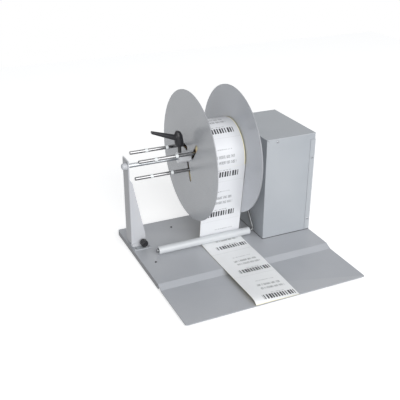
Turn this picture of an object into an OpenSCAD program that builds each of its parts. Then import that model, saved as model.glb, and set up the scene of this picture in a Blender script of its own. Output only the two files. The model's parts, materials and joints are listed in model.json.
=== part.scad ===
// Label rewinder: a motor housing on a bent base plate turns a spindle with two flanges,
// three core rods hold the paper core, and a hinged post carries the far end of the shaft.
// Lengths are worked out from the left edge of the base (x), its rear edge (y, front is negative)
// and the table (z). Every piece is then moved so that the origin is the bottom centre of the whole.

/* [Base] */
// Width of the base plate
base_w = 424; // [400:1:460]
// Depth of the base plate
base_l = 411; // [396:1:460]
// Depth of the raised tray
tray_l = 264; // [251:1:276]
// Depth of the slope in front of the tray
slope_l = 16; // [10:1:30]
// Height of the tray above the table
tray_z = 14; // [12:0.5:18]
// Height of the front plate above the table
front_z = 7; // [6:0.5:9]
// Thickness of the base sheet
sheet_t = 2; // [1.5:0.1:3]
// Gap between the base's skirt and the table
skirt_gap = 1.5; // [0.5:0.1:2.5]
// Corner radius of the base
corner_r = 4.5; // [4:0.5:14]
// Diameter of a rubber foot
foot_d = 16; // [12:0.5:22]

/* [Housing] */
// Width of the motor housing
box_w = 128.5; // [122:0.5:140]
// Depth of the motor housing
box_d = 186; // [180:1:196]
// Height of the motor housing above the spindle
box_head = 47; // [42:1:70]
// Thickness of the housing sheet
box_t = 2; // [1.5:0.1:2.4]
// Width of the cover's front and rear flanges
strip_w = 13; // [11:0.5:18]
// Height of the housing above the cover's flanges
strip_drop = 15; // [12:0.5:24]

/* [Spindle] */
// Distance of the spindle from the rear edge
axis_back = 90; // [84:0.5:96]
// Height of the spindle above the table
axis_z = 215; // [208:0.5:220]
// Diameter of the spindle shaft
shaft_d = 10; // [8:0.5:11]
// Outer diameter of the shaft bearings
bearing_d = 26; // [22:0.5:28]

/* [Flanges] */
// Diameter of the flanges
flange_d = 300; // [260:1:310]
// Thickness of the flanges
flange_t = 2; // [1.5:0.1:2.5]
// Space between the inner flange and the housing
box_gap = 39; // [34:0.5:42]
// Space between the flanges
flange_gap = 104.5; // [103:0.5:108]
// Tilt of the rod slots from the radial line
slot_tilt = 22; // [15:0.5:25]
// Radius where the rod slots begin
slot_in = 13.5; // [13.5:0.1:15]
// Radius where the rod slots end
slot_out = 61; // [50:0.5:70]

/* [Label roll] */
// Inner diameter of the paper core
core_d = 76.2; // [74:0.1:80]
// Wall of the paper core
core_wall = 4; // [2:0.1:6]
// Outer diameter of the wound labels
roll_d = 152; // [110:1:160]
// Width of the label web
label_w = 102; // [60:0.5:103]
// Thickness of the web
web_t = 0.4; // [0.3:0.05:0.6]

/* [Core rods] */
// Diameter of a core rod
rod_d = 8; // [6.5:0.1:9]
// Distance of the rods' free ends from the left edge
rod_end_x = 18; // [17:0.5:30]
// Diameter of the rods' threaded ends
rod_thread_d = 6; // [4:0.1:6]
// Diameter of a rod nut
rod_nut_d = 13; // [10:0.5:13.5]

/* [Clamp lever] */
// Diameter of the clamp collar
collar_d = 25; // [23:0.5:26]
// Length of the clamp collar
collar_l = 27.5; // [25:0.5:34]
// Distance of the lever's stud from the collar's free end
stud_back = 5.5; // [5:0.5:9]
// Diameter of the lever's stud
stud_d = 8; // [5:0.5:8]
// Diameter of the lever's boss
boss_d = 20.7; // [16:0.1:24]
// Length of the lever's arm
lever_reach = 69; // [50:1:70]
// Height of the lever's tip above the spindle
lever_rise = 69; // [60:1:70]

/* [Guide roller] */
// Diameter of the guide roller
roller_d = 18; // [14:0.5:18]
// Length of the guide roller
roller_l = 235; // [220:1:238]
// Distance of the roller from the rear edge
roller_back = 153; // [148:0.5:156]
// Height of the roller above the table
roller_z = 26; // [26:0.5:28]
// Diameter of the bar that the roller turns on
bar_d = 6; // [4:0.5:7]
// Distance of the arm's pivot from the rear edge
pivot_back = 101; // [98:0.5:104]
// Height of the arm's pivot above the table
pivot_z = 104.5; // [98:0.5:110]
// Diameter of the arm's pivot shaft
pivot_d = 8; // [6:0.5:9]

/* [Support post] */
// Depth of the post
post_w = 35; // [30:0.5:42]
// Thickness of the post's sheet
post_t = 3; // [2:0.1:3.5]
// Height of the post above the spindle
post_head = 14; // [10:1:20]
// Width of the post's gusset at the base
gusset_w = 33.5; // [32:0.5:38]
// Diameter of the lock knob
knob_d = 17; // [14:0.5:20]
// Length of the lock knob
knob_l = 19.5; // [12:0.5:20]
// Diameter of the bearing cap on the post
cap_d = 17; // [16:0.5:22]
// Reach of the bearing cap outside the post
cap_reach = 11; // [9:0.5:13]

/* [Hidden] */

$fn = 64;
// Gap between pieces that move past each other
run_gap = 0.3;
// Play of a shaft in its bearing
fit_gap = 0.05;
// Overlap of a cutting shape past the face it cuts
cut = 1;

// Places of the main pieces
axis_y = -axis_back;
box_x = base_w - box_w;
inner_x = box_x - box_gap - flange_t;
outer_x = inner_x - flange_gap - flange_t;
box_y0 = -box_d;
box_y1 = 0;
box_z = axis_z + box_head;
wall_x = box_x + box_t;
roll_x = outer_x + flange_t + (flange_gap - label_w) / 2;
roller_y = -roller_back;
pivot_y = -pivot_back;

// The frame's origin is the bottom centre of the whole object
origin_x = (base_w - cap_reach) / 2;
origin_y = (max(axis_y + flange_d / 2, box_y1) - base_l) / 2;

// Colours
steel_paint = [0.64, 0.65, 0.67];
housing_paint = [0.74, 0.75, 0.77];
bright_steel = [0.82, 0.83, 0.85];
zinc = [0.72, 0.73, 0.75];
black_plastic = [0.12, 0.12, 0.13];
white_plastic = [0.9, 0.9, 0.88];

// Moves a piece from the base's corner to the part's origin
module in_frame() {
    translate([-origin_x, -origin_y, 0]) children();
}

// A box between two corners
module block(x, y, z) {
    translate([x[0], y[0], z[0]]) cube([x[1] - x[0], y[1] - y[0], z[1] - z[0]]);
}

// A round bar along x, y or z between two places
module bar_x(d, x, y, z) {
    translate([x[0], y, z]) rotate([0, 90, 0]) cylinder(d = d, h = x[1] - x[0]);
}
module bar_y(d, x, y, z) {
    translate([x, y[0], z]) rotate([-90, 0, 0]) cylinder(d = d, h = y[1] - y[0]);
}
module bar_z(d, x, y, z) {
    translate([x, y, z[0]]) cylinder(d = d, h = z[1] - z[0]);
}

// A tube along x
module tube_x(d_out, d_in, x, y, z) {
    difference() {
        bar_x(d_out, x, y, z);
        bar_x(d_in, [x[0] - cut, x[1] + cut], y, z);
    }
}

// A flat shape drawn in y and z, or in x and z, given a thickness
module plate_yz(x) {
    translate([x[0], 0, 0]) rotate([90, 0, 90]) linear_extrude(x[1] - x[0]) children();
}
module plate_xz(y) {
    translate([0, y[1], 0]) rotate([90, 0, 0]) linear_extrude(y[1] - y[0]) children();
}

// A screw with its head above zero and its shank below
module screw(d, length) {
    cylinder(d = 2 * d, h = 0.6 * d);
    translate([0, 0, -length]) cylinder(d = d, h = length + 0.1);
}

// Points of an arc about a centre
function arc(c, r, a0, a1, n) =
    [for (i = [0 : n]) let (a = a0 + (a1 - a0) * i / n) [c[0] + r * cos(a), c[1] + r * sin(a)]];

// Outline of a rectangle with round corners
function round_box(x, y, r) = concat(
    arc([x[1] - r, y[1] - r], r, 0, 90, 8), arc([x[0] + r, y[1] - r], r, 90, 180, 8),
    arc([x[0] + r, y[0] + r], r, 180, 270, 8), arc([x[1] - r, y[0] + r], r, 270, 360, 8));

// Outline of a slot along x with round ends
function slot_shape(x, w) = concat(
    arc([x[1], 0], w / 2, -90, 90, 10), arc([x[0], 0], w / 2, 90, 270, 10));

// Base plate and what fastens it
tray_under = tray_z - sheet_t;
foot_screw_d = 2.5;
foot_inset = 28.5;
foot_front_y = -179;
foot_rear_y = -41;
foot_mid_x = 122;
tray_feet = [[foot_inset, foot_front_y], [foot_inset, foot_rear_y], [foot_mid_x, foot_rear_y],
    [base_w - foot_inset, foot_front_y], [base_w - foot_inset, foot_rear_y]];
front_foot_inset = 26;
front_feet = [for (x = [front_foot_inset, base_w - front_foot_inset]) [x, -base_l + front_foot_inset]];

// Side view of the sheet: the tray, the slope and the front plate
module base_profile() {
    polygon([[0, tray_z], [-tray_l, tray_z], [-tray_l - slope_l, front_z], [-base_l, front_z],
        [-base_l, front_z - sheet_t], [-tray_l - slope_l, front_z - sheet_t], [-tray_l, tray_under],
        [0, tray_under]]);
}

module base_outline(inset) {
    polygon(round_box([inset, base_w - inset], [inset - base_l, -inset], corner_r - inset));
}

module base_plate() {
    color(steel_paint) in_frame() difference() {
        union() {
            intersection() {
                plate_yz([0, base_w]) base_profile();
                linear_extrude(tray_z + cut) base_outline(0);
            }
            intersection() {
                block([-cut, base_w + cut], [-tray_l, cut], [skirt_gap, tray_under + sheet_t / 2]);
                linear_extrude(tray_z) difference() {
                    base_outline(0);
                    base_outline(sheet_t);
                }
            }
        }
        for (p = tray_feet)
            bar_z(foot_screw_d + 2 * fit_gap, p[0], p[1], [tray_under - cut, tray_z + cut]);
        for (p = concat(post_bracket_holes, drive_bracket_holes, housing_base_holes))
            bar_z(small_screw_d + 2 * fit_gap, p[0], p[1], [tray_under - cut, tray_z + cut]);
    }
}

module rubber_feet() {
    color(black_plastic) in_frame() {
        for (p = tray_feet)
            difference() {
                bar_z(foot_d, p[0], p[1], [0, tray_under]);
                bar_z(foot_screw_d + 2 * fit_gap, p[0], p[1], [tray_under - foot_screw_hole, tray_z]);
            }
        for (p = front_feet)
            bar_z(foot_d, p[0], p[1], [0, front_z - sheet_t]);
    }
}

foot_screw_hole = 8;
module foot_screws() {
    color(zinc) in_frame()
        for (p = tray_feet)
            translate([p[0], p[1], tray_z]) screw(foot_screw_d, sheet_t + foot_screw_hole - cut);
}

// Housing: a bent shell open on its right, and a cover that closes it
small_screw_d = 3;
small_screw_l = 7;
seam = 0.3;
flange_in = 14;
base_hole_front = 30;
base_hole_rear = 60;
cover_x = base_w - box_t;
strip_x = base_w - strip_w;
strip_z = box_z - strip_drop;
tab_t = 1.5;
housing_left_hole_x = wall_x + flange_in / 2;
housing_base_holes = [for (y = [box_y0 + base_hole_front, axis_y + base_hole_rear]) [housing_left_hole_x, y]];
cover_screw_x = base_w - strip_w / 2;
cover_screw_up = 30;
cover_screw_down = 45;
cover_screw_rows = [tray_z + cover_screw_up, strip_z - cover_screw_down];
corner_screw_in = 27.5;
corner_screw_down = 7.5;
corner_screw_x = box_x + corner_screw_in;
corner_screw_z = box_z - corner_screw_down;
tab_lap = 6;
tab_up = 6;
tab_down = 4;
tab_in = 1;
socket_pitch = 42;
socket_up = 34;
inlet_x = box_x + socket_pitch;
switch_x = inlet_x + socket_pitch;
socket_z = tray_z + socket_up;
inlet_d = 11;
switch_w = 13;
switch_h = 19;

module housing() {
    color(housing_paint) in_frame() difference() {
        union() {
            difference() {
                block([box_x, base_w], [box_y0, box_y1], [tray_z, box_z]);
                block([wall_x, base_w + cut], [box_y0 + box_t, box_y1 - box_t], [tray_z - cut, box_z - box_t]);
                for (y = [[box_y0 - cut, box_y0 + box_t + cut], [box_y1 - box_t - cut, box_y1 + cut]])
                    block([strip_x - seam, base_w + cut], y, [tray_z - cut, strip_z + seam]);
                for (y = [[box_y0 - cut, box_y0 + box_t + cut], [box_y1 - box_t - cut, box_y1 + cut]])
                    block([cover_x - seam, base_w + cut], y, [tray_z - cut, box_z - box_t]);
            }
            block([wall_x - cut, wall_x + flange_in], [box_y0 + box_t, box_y1 - box_t],
                [tray_z, tray_z + box_t]);
            for (y = [[box_y0 + box_t, box_y0 + box_t + tab_t], [box_y1 - box_t - tab_t, box_y1 - box_t]])
                block([strip_x - tab_lap, cover_x - tab_in], y, [tray_z + tab_up, strip_z - tab_down]);
        }
        bar_x(bearing_d + 2 * fit_gap, [box_x - cut, wall_x + cut], axis_y, axis_z);
        bar_x(bush_d + 2 * fit_gap, [box_x - cut, wall_x + cut], pivot_y, pivot_z);
        bar_x(stop_pin_d + 2 * fit_gap, [box_x - cut, wall_x + cut], stop_place[0], stop_place[1]);
        for (s = [-1, 1])
            bar_x(small_screw_d + 2 * fit_gap, [box_x - cut, wall_x + cut], pivot_y, pivot_z + s * sensor_ear);
        for (p = housing_base_holes)
            bar_z(small_screw_d + 2 * fit_gap, p[0], p[1], [tray_z - cut, tray_z + box_t + cut]);
        for (z = cover_screw_rows)
            bar_y(small_screw_d + 2 * fit_gap, cover_screw_x, [box_y0 - cut, box_y1 + cut], z);
        bar_y(small_screw_d + 2 * fit_gap, corner_screw_x, [box_y0 - cut, box_y1 + cut], corner_screw_z);
        bar_y(inlet_d + 2 * fit_gap, inlet_x, [box_y1 - box_t - cut, box_y1 + cut], socket_z);
        block([switch_x - switch_w / 2, switch_x + switch_w / 2], [box_y1 - box_t - cut, box_y1 + cut],
            [socket_z - switch_h / 2, socket_z + switch_h / 2]);
    }
}

module side_cover() {
    color(housing_paint) in_frame() difference() {
        union() {
            block([cover_x, base_w], [box_y0, box_y1], [tray_z, strip_z]);
            block([cover_x, base_w], [box_y0 + box_t + seam, box_y1 - box_t - seam],
                [tray_z, box_z - box_t - seam]);
            block([strip_x, base_w], [box_y0, box_y0 + box_t], [tray_z, strip_z]);
            block([strip_x, base_w], [box_y1 - box_t, box_y1], [tray_z, strip_z]);
        }
        for (z = cover_screw_rows)
            bar_y(small_screw_d + 2 * fit_gap, cover_screw_x, [box_y0 - cut, box_y1 + cut], z);
    }
}

module cover_screws() {
    color(zinc) in_frame()
        for (z = cover_screw_rows) {
            translate([cover_screw_x, box_y0, z]) rotate([90, 0, 0]) screw(small_screw_d, small_screw_l);
            translate([cover_screw_x, box_y1, z]) rotate([-90, 0, 0]) screw(small_screw_d, small_screw_l);
        }
}

module housing_screws() {
    color(zinc) in_frame() {
        translate([corner_screw_x, box_y0, corner_screw_z]) rotate([90, 0, 0])
            screw(small_screw_d, small_screw_l);
        translate([corner_screw_x, box_y1, corner_screw_z]) rotate([-90, 0, 0])
            screw(small_screw_d, small_screw_l);
    }
}

module housing_base_screws() {
    color(zinc) in_frame()
        for (p = housing_base_holes)
            translate([p[0], p[1], tray_z + box_t]) screw(small_screw_d, small_screw_l);
}

// Drive: a bracket inside the housing carries the motor and the spindle's second bearing
bracket_in = 40.5;
bracket_x = wall_x + bracket_in;
bracket_t = 3;
bracket_face = bracket_x + bracket_t;
bracket_foot = 18;
bracket_front = 56;
bracket_rear = 64;
bracket_rim = 8;
bracket_hole_in = 10;
bracket_y = [axis_y - bracket_front, axis_y + bracket_rear];
bracket_top = axis_z + bearing_d / 2 + bracket_rim;
drive_bracket_holes = [for (y = bracket_y)
    [bracket_face + bracket_foot / 2, y + sign(axis_y - y) * bracket_hole_in]];
motor_back = 24;
motor_drop = 110;
motor_y = axis_y + motor_back;
motor_z = axis_z - motor_drop;
motor_boss_d = 14;
motor_shaft_d = 8;
gearbox_w = 42;
gearbox_l = 30;
motor_d = 36;
motor_l = 40;
motor_hole = 15;
motor_holes = [for (y = [-1, 1], z = [-1, 1]) [motor_y + y * motor_hole, motor_z + z * motor_hole]];
bearing_w = 8;
bearing_lip = 3;
lip_t = 2;
pulley_in = 17;
pulley_x = wall_x + pulley_in;
pulley_w = 16;
pulley_rim = 2;
pulley_lip = 4;
driven_r = 30;
motor_r = 12;
belt_t = 1.5;
belt_play = 1;

module drive_bracket() {
    color(zinc) in_frame() difference() {
        union() {
            block([bracket_x, bracket_face], bracket_y, [tray_z, bracket_top]);
            block([bracket_x, bracket_face + bracket_foot], bracket_y, [tray_z, tray_z + bracket_t]);
        }
        bar_x(bearing_d + 2 * fit_gap, [bracket_x - cut, bracket_face + cut], axis_y, axis_z);
        bar_x(motor_boss_d, [bracket_x - cut, bracket_face + cut], motor_y, motor_z);
        for (p = motor_holes)
            bar_x(small_screw_d + 2 * fit_gap, [bracket_x - cut, bracket_face + cut], p[0], p[1]);
        for (p = drive_bracket_holes)
            bar_z(small_screw_d + 2 * fit_gap, p[0], p[1], [tray_z - cut, tray_z + bracket_t + cut]);
    }
}

module drive_bracket_screws() {
    color(zinc) in_frame()
        for (p = drive_bracket_holes)
            translate([p[0], p[1], tray_z + bracket_t]) screw(small_screw_d, small_screw_l);
}

// A bearing pressed into a wall, with a lip on the wall's inner face
module flanged_bearing(x, wall) {
    difference() {
        union() {
            bar_x(bearing_d, [x, x + bearing_w], axis_y, axis_z);
            bar_x(bearing_d + 2 * bearing_lip, [x + wall, x + wall + lip_t], axis_y, axis_z);
        }
        bar_x(shaft_d + 2 * fit_gap, [x - cut, x + bearing_w + cut], axis_y, axis_z);
    }
}

module wall_bearing() {
    color(bright_steel) in_frame() flanged_bearing(box_x, box_t);
}

module bracket_bearing() {
    color(bright_steel) in_frame() flanged_bearing(bracket_x, bracket_t);
}

module gear_motor() {
    color([0.3, 0.31, 0.33]) in_frame() difference() {
        union() {
            block([bracket_face, bracket_face + gearbox_l],
                [motor_y - gearbox_w / 2, motor_y + gearbox_w / 2],
                [motor_z - gearbox_w / 2, motor_z + gearbox_w / 2]);
            bar_x(motor_d, [bracket_face + gearbox_l, bracket_face + gearbox_l + motor_l], motor_y, motor_z);
        }
        bar_x(motor_shaft_d + 2 * fit_gap, [bracket_face - cut, bracket_face + gearbox_l / 2],
            motor_y, motor_z);
        for (p = motor_holes)
            bar_x(small_screw_d + 2 * fit_gap, [bracket_face - cut, bracket_face + small_screw_l], p[0], p[1]);
    }
}

module motor_screws() {
    color(zinc) in_frame()
        for (p = motor_holes)
            translate([bracket_x, p[0], p[1]]) rotate([0, -90, 0])
                screw(small_screw_d, small_screw_l + bracket_t - cut);
}

module motor_shaft() {
    color(bright_steel) in_frame()
        bar_x(motor_shaft_d, [pulley_x, bracket_face + gearbox_l / 2 - run_gap], motor_y, motor_z);
}

// A flat-belt pulley with a rim on each side
module pulley(r, bore, y, z) {
    difference() {
        union() {
            bar_x(2 * r, [pulley_x, pulley_x + pulley_w], y, z);
            for (x = [pulley_x, pulley_x + pulley_w - pulley_rim])
                bar_x(2 * r + 2 * pulley_lip, [x, x + pulley_rim], y, z);
        }
        bar_x(bore, [pulley_x - cut, pulley_x + pulley_w + cut], y, z);
    }
}

module motor_pulley() {
    color(zinc) in_frame() pulley(motor_r, motor_shaft_d + 2 * fit_gap, motor_y, motor_z);
}

module driven_pulley() {
    color(zinc) in_frame() pulley(driven_r, shaft_d + 2 * fit_gap, axis_y, axis_z);
}

// The belt's outline around both pulleys
module belt_outline(grow) {
    hull() {
        translate([axis_y, axis_z]) circle(r = driven_r + grow);
        translate([motor_y, motor_z]) circle(r = motor_r + grow);
    }
}

module drive_belt() {
    color(black_plastic) in_frame()
        plate_yz([pulley_x + pulley_rim + belt_play, pulley_x + pulley_w - pulley_rim - belt_play])
            difference() {
                belt_outline(run_gap + belt_t);
                belt_outline(run_gap);
            }
}

ring_t = 1.5;
ring_lip = 3;
shaft_stub = 2;
shaft_end_x = bracket_x + bearing_w + run_gap + ring_t + shaft_stub;
module shaft_rings() {
    color(bright_steel) in_frame()
        for (x = [bracket_x + bearing_w + run_gap, bracket_x - run_gap - ring_t])
            tube_x(shaft_d + 2 * ring_lip, shaft_d + 2 * fit_gap, [x, x + ring_t], axis_y, axis_z);
}

// Electronics on the tray inside the housing
board_side = 4;
board_gap = 6;
board_front = 10;
board_l = 100;
board_up = 12;
board_x = [bracket_face + bracket_foot + board_side, cover_x - board_gap];
board_y = [box_y0 + board_front, box_y0 + board_front + board_l];
board_z = tray_z + board_up;
board_t = 1.6;
standoff_d = 6;
standoff_in = 5;

module control_board() {
    color([0.1, 0.35, 0.2]) in_frame() block(board_x, board_y, [board_z, board_z + board_t]);
}

module board_standoffs() {
    color(zinc) in_frame()
        for (x = [board_x[0] + standoff_in, board_x[1] - standoff_in],
             y = [board_y[0] + standoff_in, board_y[1] - standoff_in])
            bar_z(standoff_d, x, y, [tray_z, board_z]);
}

// A block on the board: its width, its front edge, its depth and its height
module board_block(w, front, depth, h) {
    mid_x = (board_x[0] + board_x[1]) / 2;
    top = board_z + board_t;
    block([mid_x - w / 2, mid_x + w / 2], [board_y[0] + front, board_y[0] + front + depth], [top, top + h]);
}

sink_size = [28, 12, 8, 22];
chip_size = [16, 50, 16, 3];
plug_size = [24, 86, 8, 9];
capacitor_d = 10;
capacitor_h = 16;
capacitor_pitch = 14;
capacitor_front = 34;
module board_parts() {
    color(black_plastic) in_frame() {
        for (s = [sink_size, chip_size, plug_size])
            board_block(s[0], s[1], s[2], s[3]);
        for (i = [-1 : 1])
            bar_z(capacitor_d, (board_x[0] + board_x[1]) / 2 + capacitor_pitch * i,
                board_y[0] + capacitor_front, [board_z + board_t, board_z + board_t + capacitor_h]);
    }
}

// Power inlet and switch on the rear wall
inlet_lip = 2;
inlet_bore = 6.5;
inlet_pin = 2.1;
inlet_l = 14;
inlet_floor = 3;
inlet_root = 2;
module power_inlet() {
    color(black_plastic) in_frame() {
        difference() {
            union() {
                bar_y(inlet_d, inlet_x, [box_y1 - inlet_l, box_y1], socket_z);
                bar_y(inlet_d + 2 * inlet_lip, inlet_x, [box_y1, box_y1 + lip_t], socket_z);
            }
            bar_y(inlet_bore, inlet_x, [box_y1 - inlet_l + inlet_floor, box_y1 + lip_t + cut], socket_z);
        }
        bar_y(inlet_pin, inlet_x, [box_y1 - inlet_l + inlet_root, box_y1], socket_z);
    }
}

bezel = 2.5;
switch_l = 20;
switch_wall = 2;
rocker_pin_d = 2;
rocker_tilt = 8;
rocker_sink = 1;
rocker_deep = 3;
rocker_dip = 1.8;
rocker_keel = 2;
rocker_pin_in = 1;
switch_deep = 6;
rocker_y = box_y1 - rocker_sink;
module power_switch() {
    color(black_plastic) in_frame() difference() {
        union() {
            block([switch_x - switch_w / 2 + fit_gap, switch_x + switch_w / 2 - fit_gap],
                [box_y1 - switch_l, box_y1 + fit_gap],
                [socket_z - switch_h / 2 + fit_gap, socket_z + switch_h / 2 - fit_gap]);
            block([switch_x - switch_w / 2 - bezel, switch_x + switch_w / 2 + bezel], [box_y1, box_y1 + lip_t],
                [socket_z - switch_h / 2 - bezel, socket_z + switch_h / 2 + bezel]);
        }
        block([switch_x - switch_w / 2 + switch_wall, switch_x + switch_w / 2 - switch_wall],
            [box_y1 - switch_deep, box_y1 + lip_t + cut],
            [socket_z - switch_h / 2 + switch_wall, socket_z + switch_h / 2 - switch_wall]);
        bar_x(rocker_pin_d + 2 * fit_gap,
            [switch_x - switch_w / 2 + rocker_pin_in, switch_x + switch_w / 2 - rocker_pin_in],
            rocker_y, socket_z);
    }
}

module switch_rocker() {
    half_w = switch_w / 2 - switch_wall - run_gap;
    half_h = switch_h / 2 - switch_wall - 3 * run_gap;
    color([0.2, 0.2, 0.21]) in_frame() translate([0, rocker_y, socket_z]) rotate([-rocker_tilt, 0, 0]) {
        plate_yz([switch_x - half_w, switch_x + half_w])
            polygon([[-rocker_deep, -rocker_keel], [0, -half_h], [rocker_deep, -half_h], [rocker_dip, 0],
                [rocker_deep, half_h], [0, half_h], [-rocker_deep, rocker_keel]]);
        bar_x(rocker_pin_d, [switch_x - half_w - rocker_pin_in, switch_x + half_w + rocker_pin_in], 0, 0);
    }
}

// Spindle: a shaft with a coned tip, and a fixed flange on a hub
cap_wall = 5;
tip_gap = 3;
tip_room = 1;
tip_x = -cap_reach + cap_wall + tip_room;
tip_r = shaft_d / 4;
cone_x = post_t + tip_gap;
hub_d = collar_d + 1;
hub_l = 16;
spigot_wall = 3;
spigot_d = shaft_d + 2 * spigot_wall;
spigot_reach = 2.5;
set_screw_d = 4;
set_screw_in = 5;
set_screw_sink = 0.5;

// Turns pieces about the spindle's axis
module on_spindle(angle = 0) {
    translate([0, axis_y, axis_z]) rotate([angle, 0, 0]) children();
}

module spindle_shaft() {
    color(bright_steel) in_frame() on_spindle() {
        bar_x(shaft_d, [cone_x, shaft_end_x], 0, 0);
        translate([tip_x, 0, 0]) rotate([0, 90, 0])
            cylinder(r1 = tip_r, r2 = shaft_d / 2, h = cone_x - tip_x);
    }
}

module inner_hub() {
    color(zinc) in_frame() on_spindle() difference() {
        union() {
            bar_x(hub_d, [inner_x + flange_t, inner_x + flange_t + hub_l], 0, 0);
            bar_x(spigot_d, [inner_x - spigot_reach, inner_x + flange_t + cut], 0, 0);
        }
        bar_x(shaft_d + 2 * fit_gap, [inner_x - spigot_reach - cut, inner_x + flange_t + hub_l + cut], 0, 0);
        for (a = [0, 120, 240])
            rotate([a, 0, 0])
                bar_z(set_screw_d + 2 * fit_gap, inner_x + flange_t + hub_l - set_screw_in, 0, [0, hub_d]);
    }
}

module hub_ring() {
    color(zinc) in_frame() on_spindle()
        tube_x(hub_d, spigot_d + 2 * fit_gap, [inner_x - spigot_reach, inner_x], 0, 0);
}

module hub_set_screws() {
    color(black_plastic) in_frame() on_spindle()
        for (a = [0, 120, 240])
            rotate([a, 0, 0])
                bar_z(set_screw_d, inner_x + flange_t + hub_l - set_screw_in, 0,
                    [shaft_d / 2 + fit_gap, hub_d / 2 - set_screw_sink]);
}

// Core rods in tilted slots: a rod slides along its slot when its nut is slack
rod_r = core_d / 2 - rod_d / 2 - run_gap;
rod_angles = [30, 150, 270];
slot_play = 1.8;
slot_w = rod_d + 2 * slot_play;
thread_slot_play = 0.6;
thread_slot_w = rod_thread_d + thread_slot_play;
rod_nut_l = 9;
rod_tail = 2;
rod_chamfer = 1;

// Distance along a slot from the rod's rest place to a radius
function slot_run(r, side) = -rod_r * cos(slot_tilt)
    + side * sqrt(r * r - rod_r * rod_r * sin(slot_tilt) * sin(slot_tilt));

module rod_slots(w) {
    run = [slot_run(slot_in + w / 2, 1), slot_run(slot_out - w / 2, 1)];
    for (a = rod_angles)
        rotate(a) translate([rod_r, 0]) rotate(-slot_tilt) polygon(slot_shape(run, w));
}

module flange(x, bore, w) {
    on_spindle() plate_yz([x, x + flange_t]) difference() {
        circle(d = flange_d, $fn = 128);
        circle(d = bore);
        rod_slots(w);
    }
}

module inner_flange() {
    color(steel_paint) in_frame() flange(inner_x, spigot_d + 2 * fit_gap, thread_slot_w);
}

module core_rod(i) {
    color(bright_steel) in_frame() on_spindle(rod_angles[i]) {
        bar_x(rod_d, [rod_end_x + rod_chamfer, inner_x], rod_r, 0);
        translate([rod_end_x, rod_r, 0]) rotate([0, 90, 0])
            cylinder(d1 = rod_d - 2 * rod_chamfer, d2 = rod_d, h = rod_chamfer);
        bar_x(rod_thread_d, [inner_x - cut, inner_x + flange_t + rod_nut_l + rod_tail], rod_r, 0);
    }
}

module rod_nut(i) {
    color(zinc) in_frame() on_spindle(rod_angles[i])
        tube_x(rod_nut_d, rod_thread_d + 2 * fit_gap,
            [inner_x + flange_t, inner_x + flange_t + rod_nut_l], rod_r, 0);
}

module core_rod_1() core_rod(0);
module core_rod_2() core_rod(1);
module core_rod_3() core_rod(2);
module rod_nut_1() rod_nut(0);
module rod_nut_2() rod_nut(1);
module rod_nut_3() rod_nut(2);

// Outer flange: it slides on the shaft and a lever clamps its collar
collar_bore = shaft_d + 2 * fit_gap;
collar_spigot_wall = 4;
collar_spigot_d = shaft_d + 2 * collar_spigot_wall;
collar_ring_t = 2;
stud_x = outer_x - collar_l + stud_back;
boss_low = 23;
boss_top = 60.5;

module outer_flange() {
    color(steel_paint) in_frame() flange(outer_x, collar_spigot_d + 2 * fit_gap, slot_w);
}

module clamp_collar() {
    color([0.8, 0.81, 0.82]) in_frame() on_spindle() difference() {
        union() {
            bar_x(collar_d, [outer_x - collar_l, outer_x], 0, 0);
            bar_x(collar_spigot_d, [outer_x - cut, outer_x + flange_t + collar_ring_t], 0, 0);
        }
        bar_x(collar_bore, [outer_x - collar_l - cut, outer_x + flange_t + collar_ring_t + cut], 0, 0);
        bar_z(stud_d + 2 * fit_gap, stud_x, 0, [0, collar_d]);
    }
}

module collar_ring() {
    color(zinc) in_frame() on_spindle()
        tube_x(collar_d - 1, collar_spigot_d + 2 * fit_gap,
            [outer_x + flange_t, outer_x + flange_t + collar_ring_t], 0, 0);
}

stud_sink = 16;
module lever_stud() {
    color(bright_steel) in_frame() on_spindle()
        bar_z(stud_d, stud_x, 0, [shaft_d / 2 + run_gap, boss_low + stud_sink]);
}

lever_root_d = 12;
lever_root_rise = 45;
lever_tip_d = 6;
lever_tip_spread = 2.5;
boss_foot = 7;
boss_shoulder = 10;
boss_crown = 2.5;
module clamp_lever() {
    color(black_plastic) in_frame() on_spindle() translate([stud_x, 0, 0]) difference() {
        union() {
            rotate_extrude()
                polygon([[0, boss_low], [0.36 * boss_d, boss_low], [boss_d / 2, boss_low + boss_foot],
                    [boss_d / 2, boss_top - boss_shoulder], [0.38 * boss_d, boss_top - boss_crown],
                    [0.32 * boss_d, boss_top], [0, boss_top]]);
            hull() {
                translate([-boss_d / 3, 0, lever_root_rise]) sphere(d = lever_root_d, $fn = 32);
                for (s = [-1, 1])
                    translate([lever_tip_d / 2 - lever_reach, s * lever_tip_spread, lever_rise])
                        sphere(d = lever_tip_d, $fn = 32);
            }
        }
        bar_z(stud_d + 2 * fit_gap, 0, 0, [boss_low - cut, boss_low + stud_sink]);
    }
}

// Wound labels on their core
module paper_core() {
    color([0.72, 0.6, 0.42]) in_frame() on_spindle()
        tube_x(core_d + 2 * core_wall, core_d, [roll_x, roll_x + label_w], 0, 0, $fn = 96);
}

module label_roll() {
    color([0.93, 0.9, 0.78]) in_frame() on_spindle()
        tube_x(roll_d, core_d + 2 * core_wall + 2 * fit_gap, [roll_x, roll_x + label_w], 0, 0, $fn = 128);
}

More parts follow.
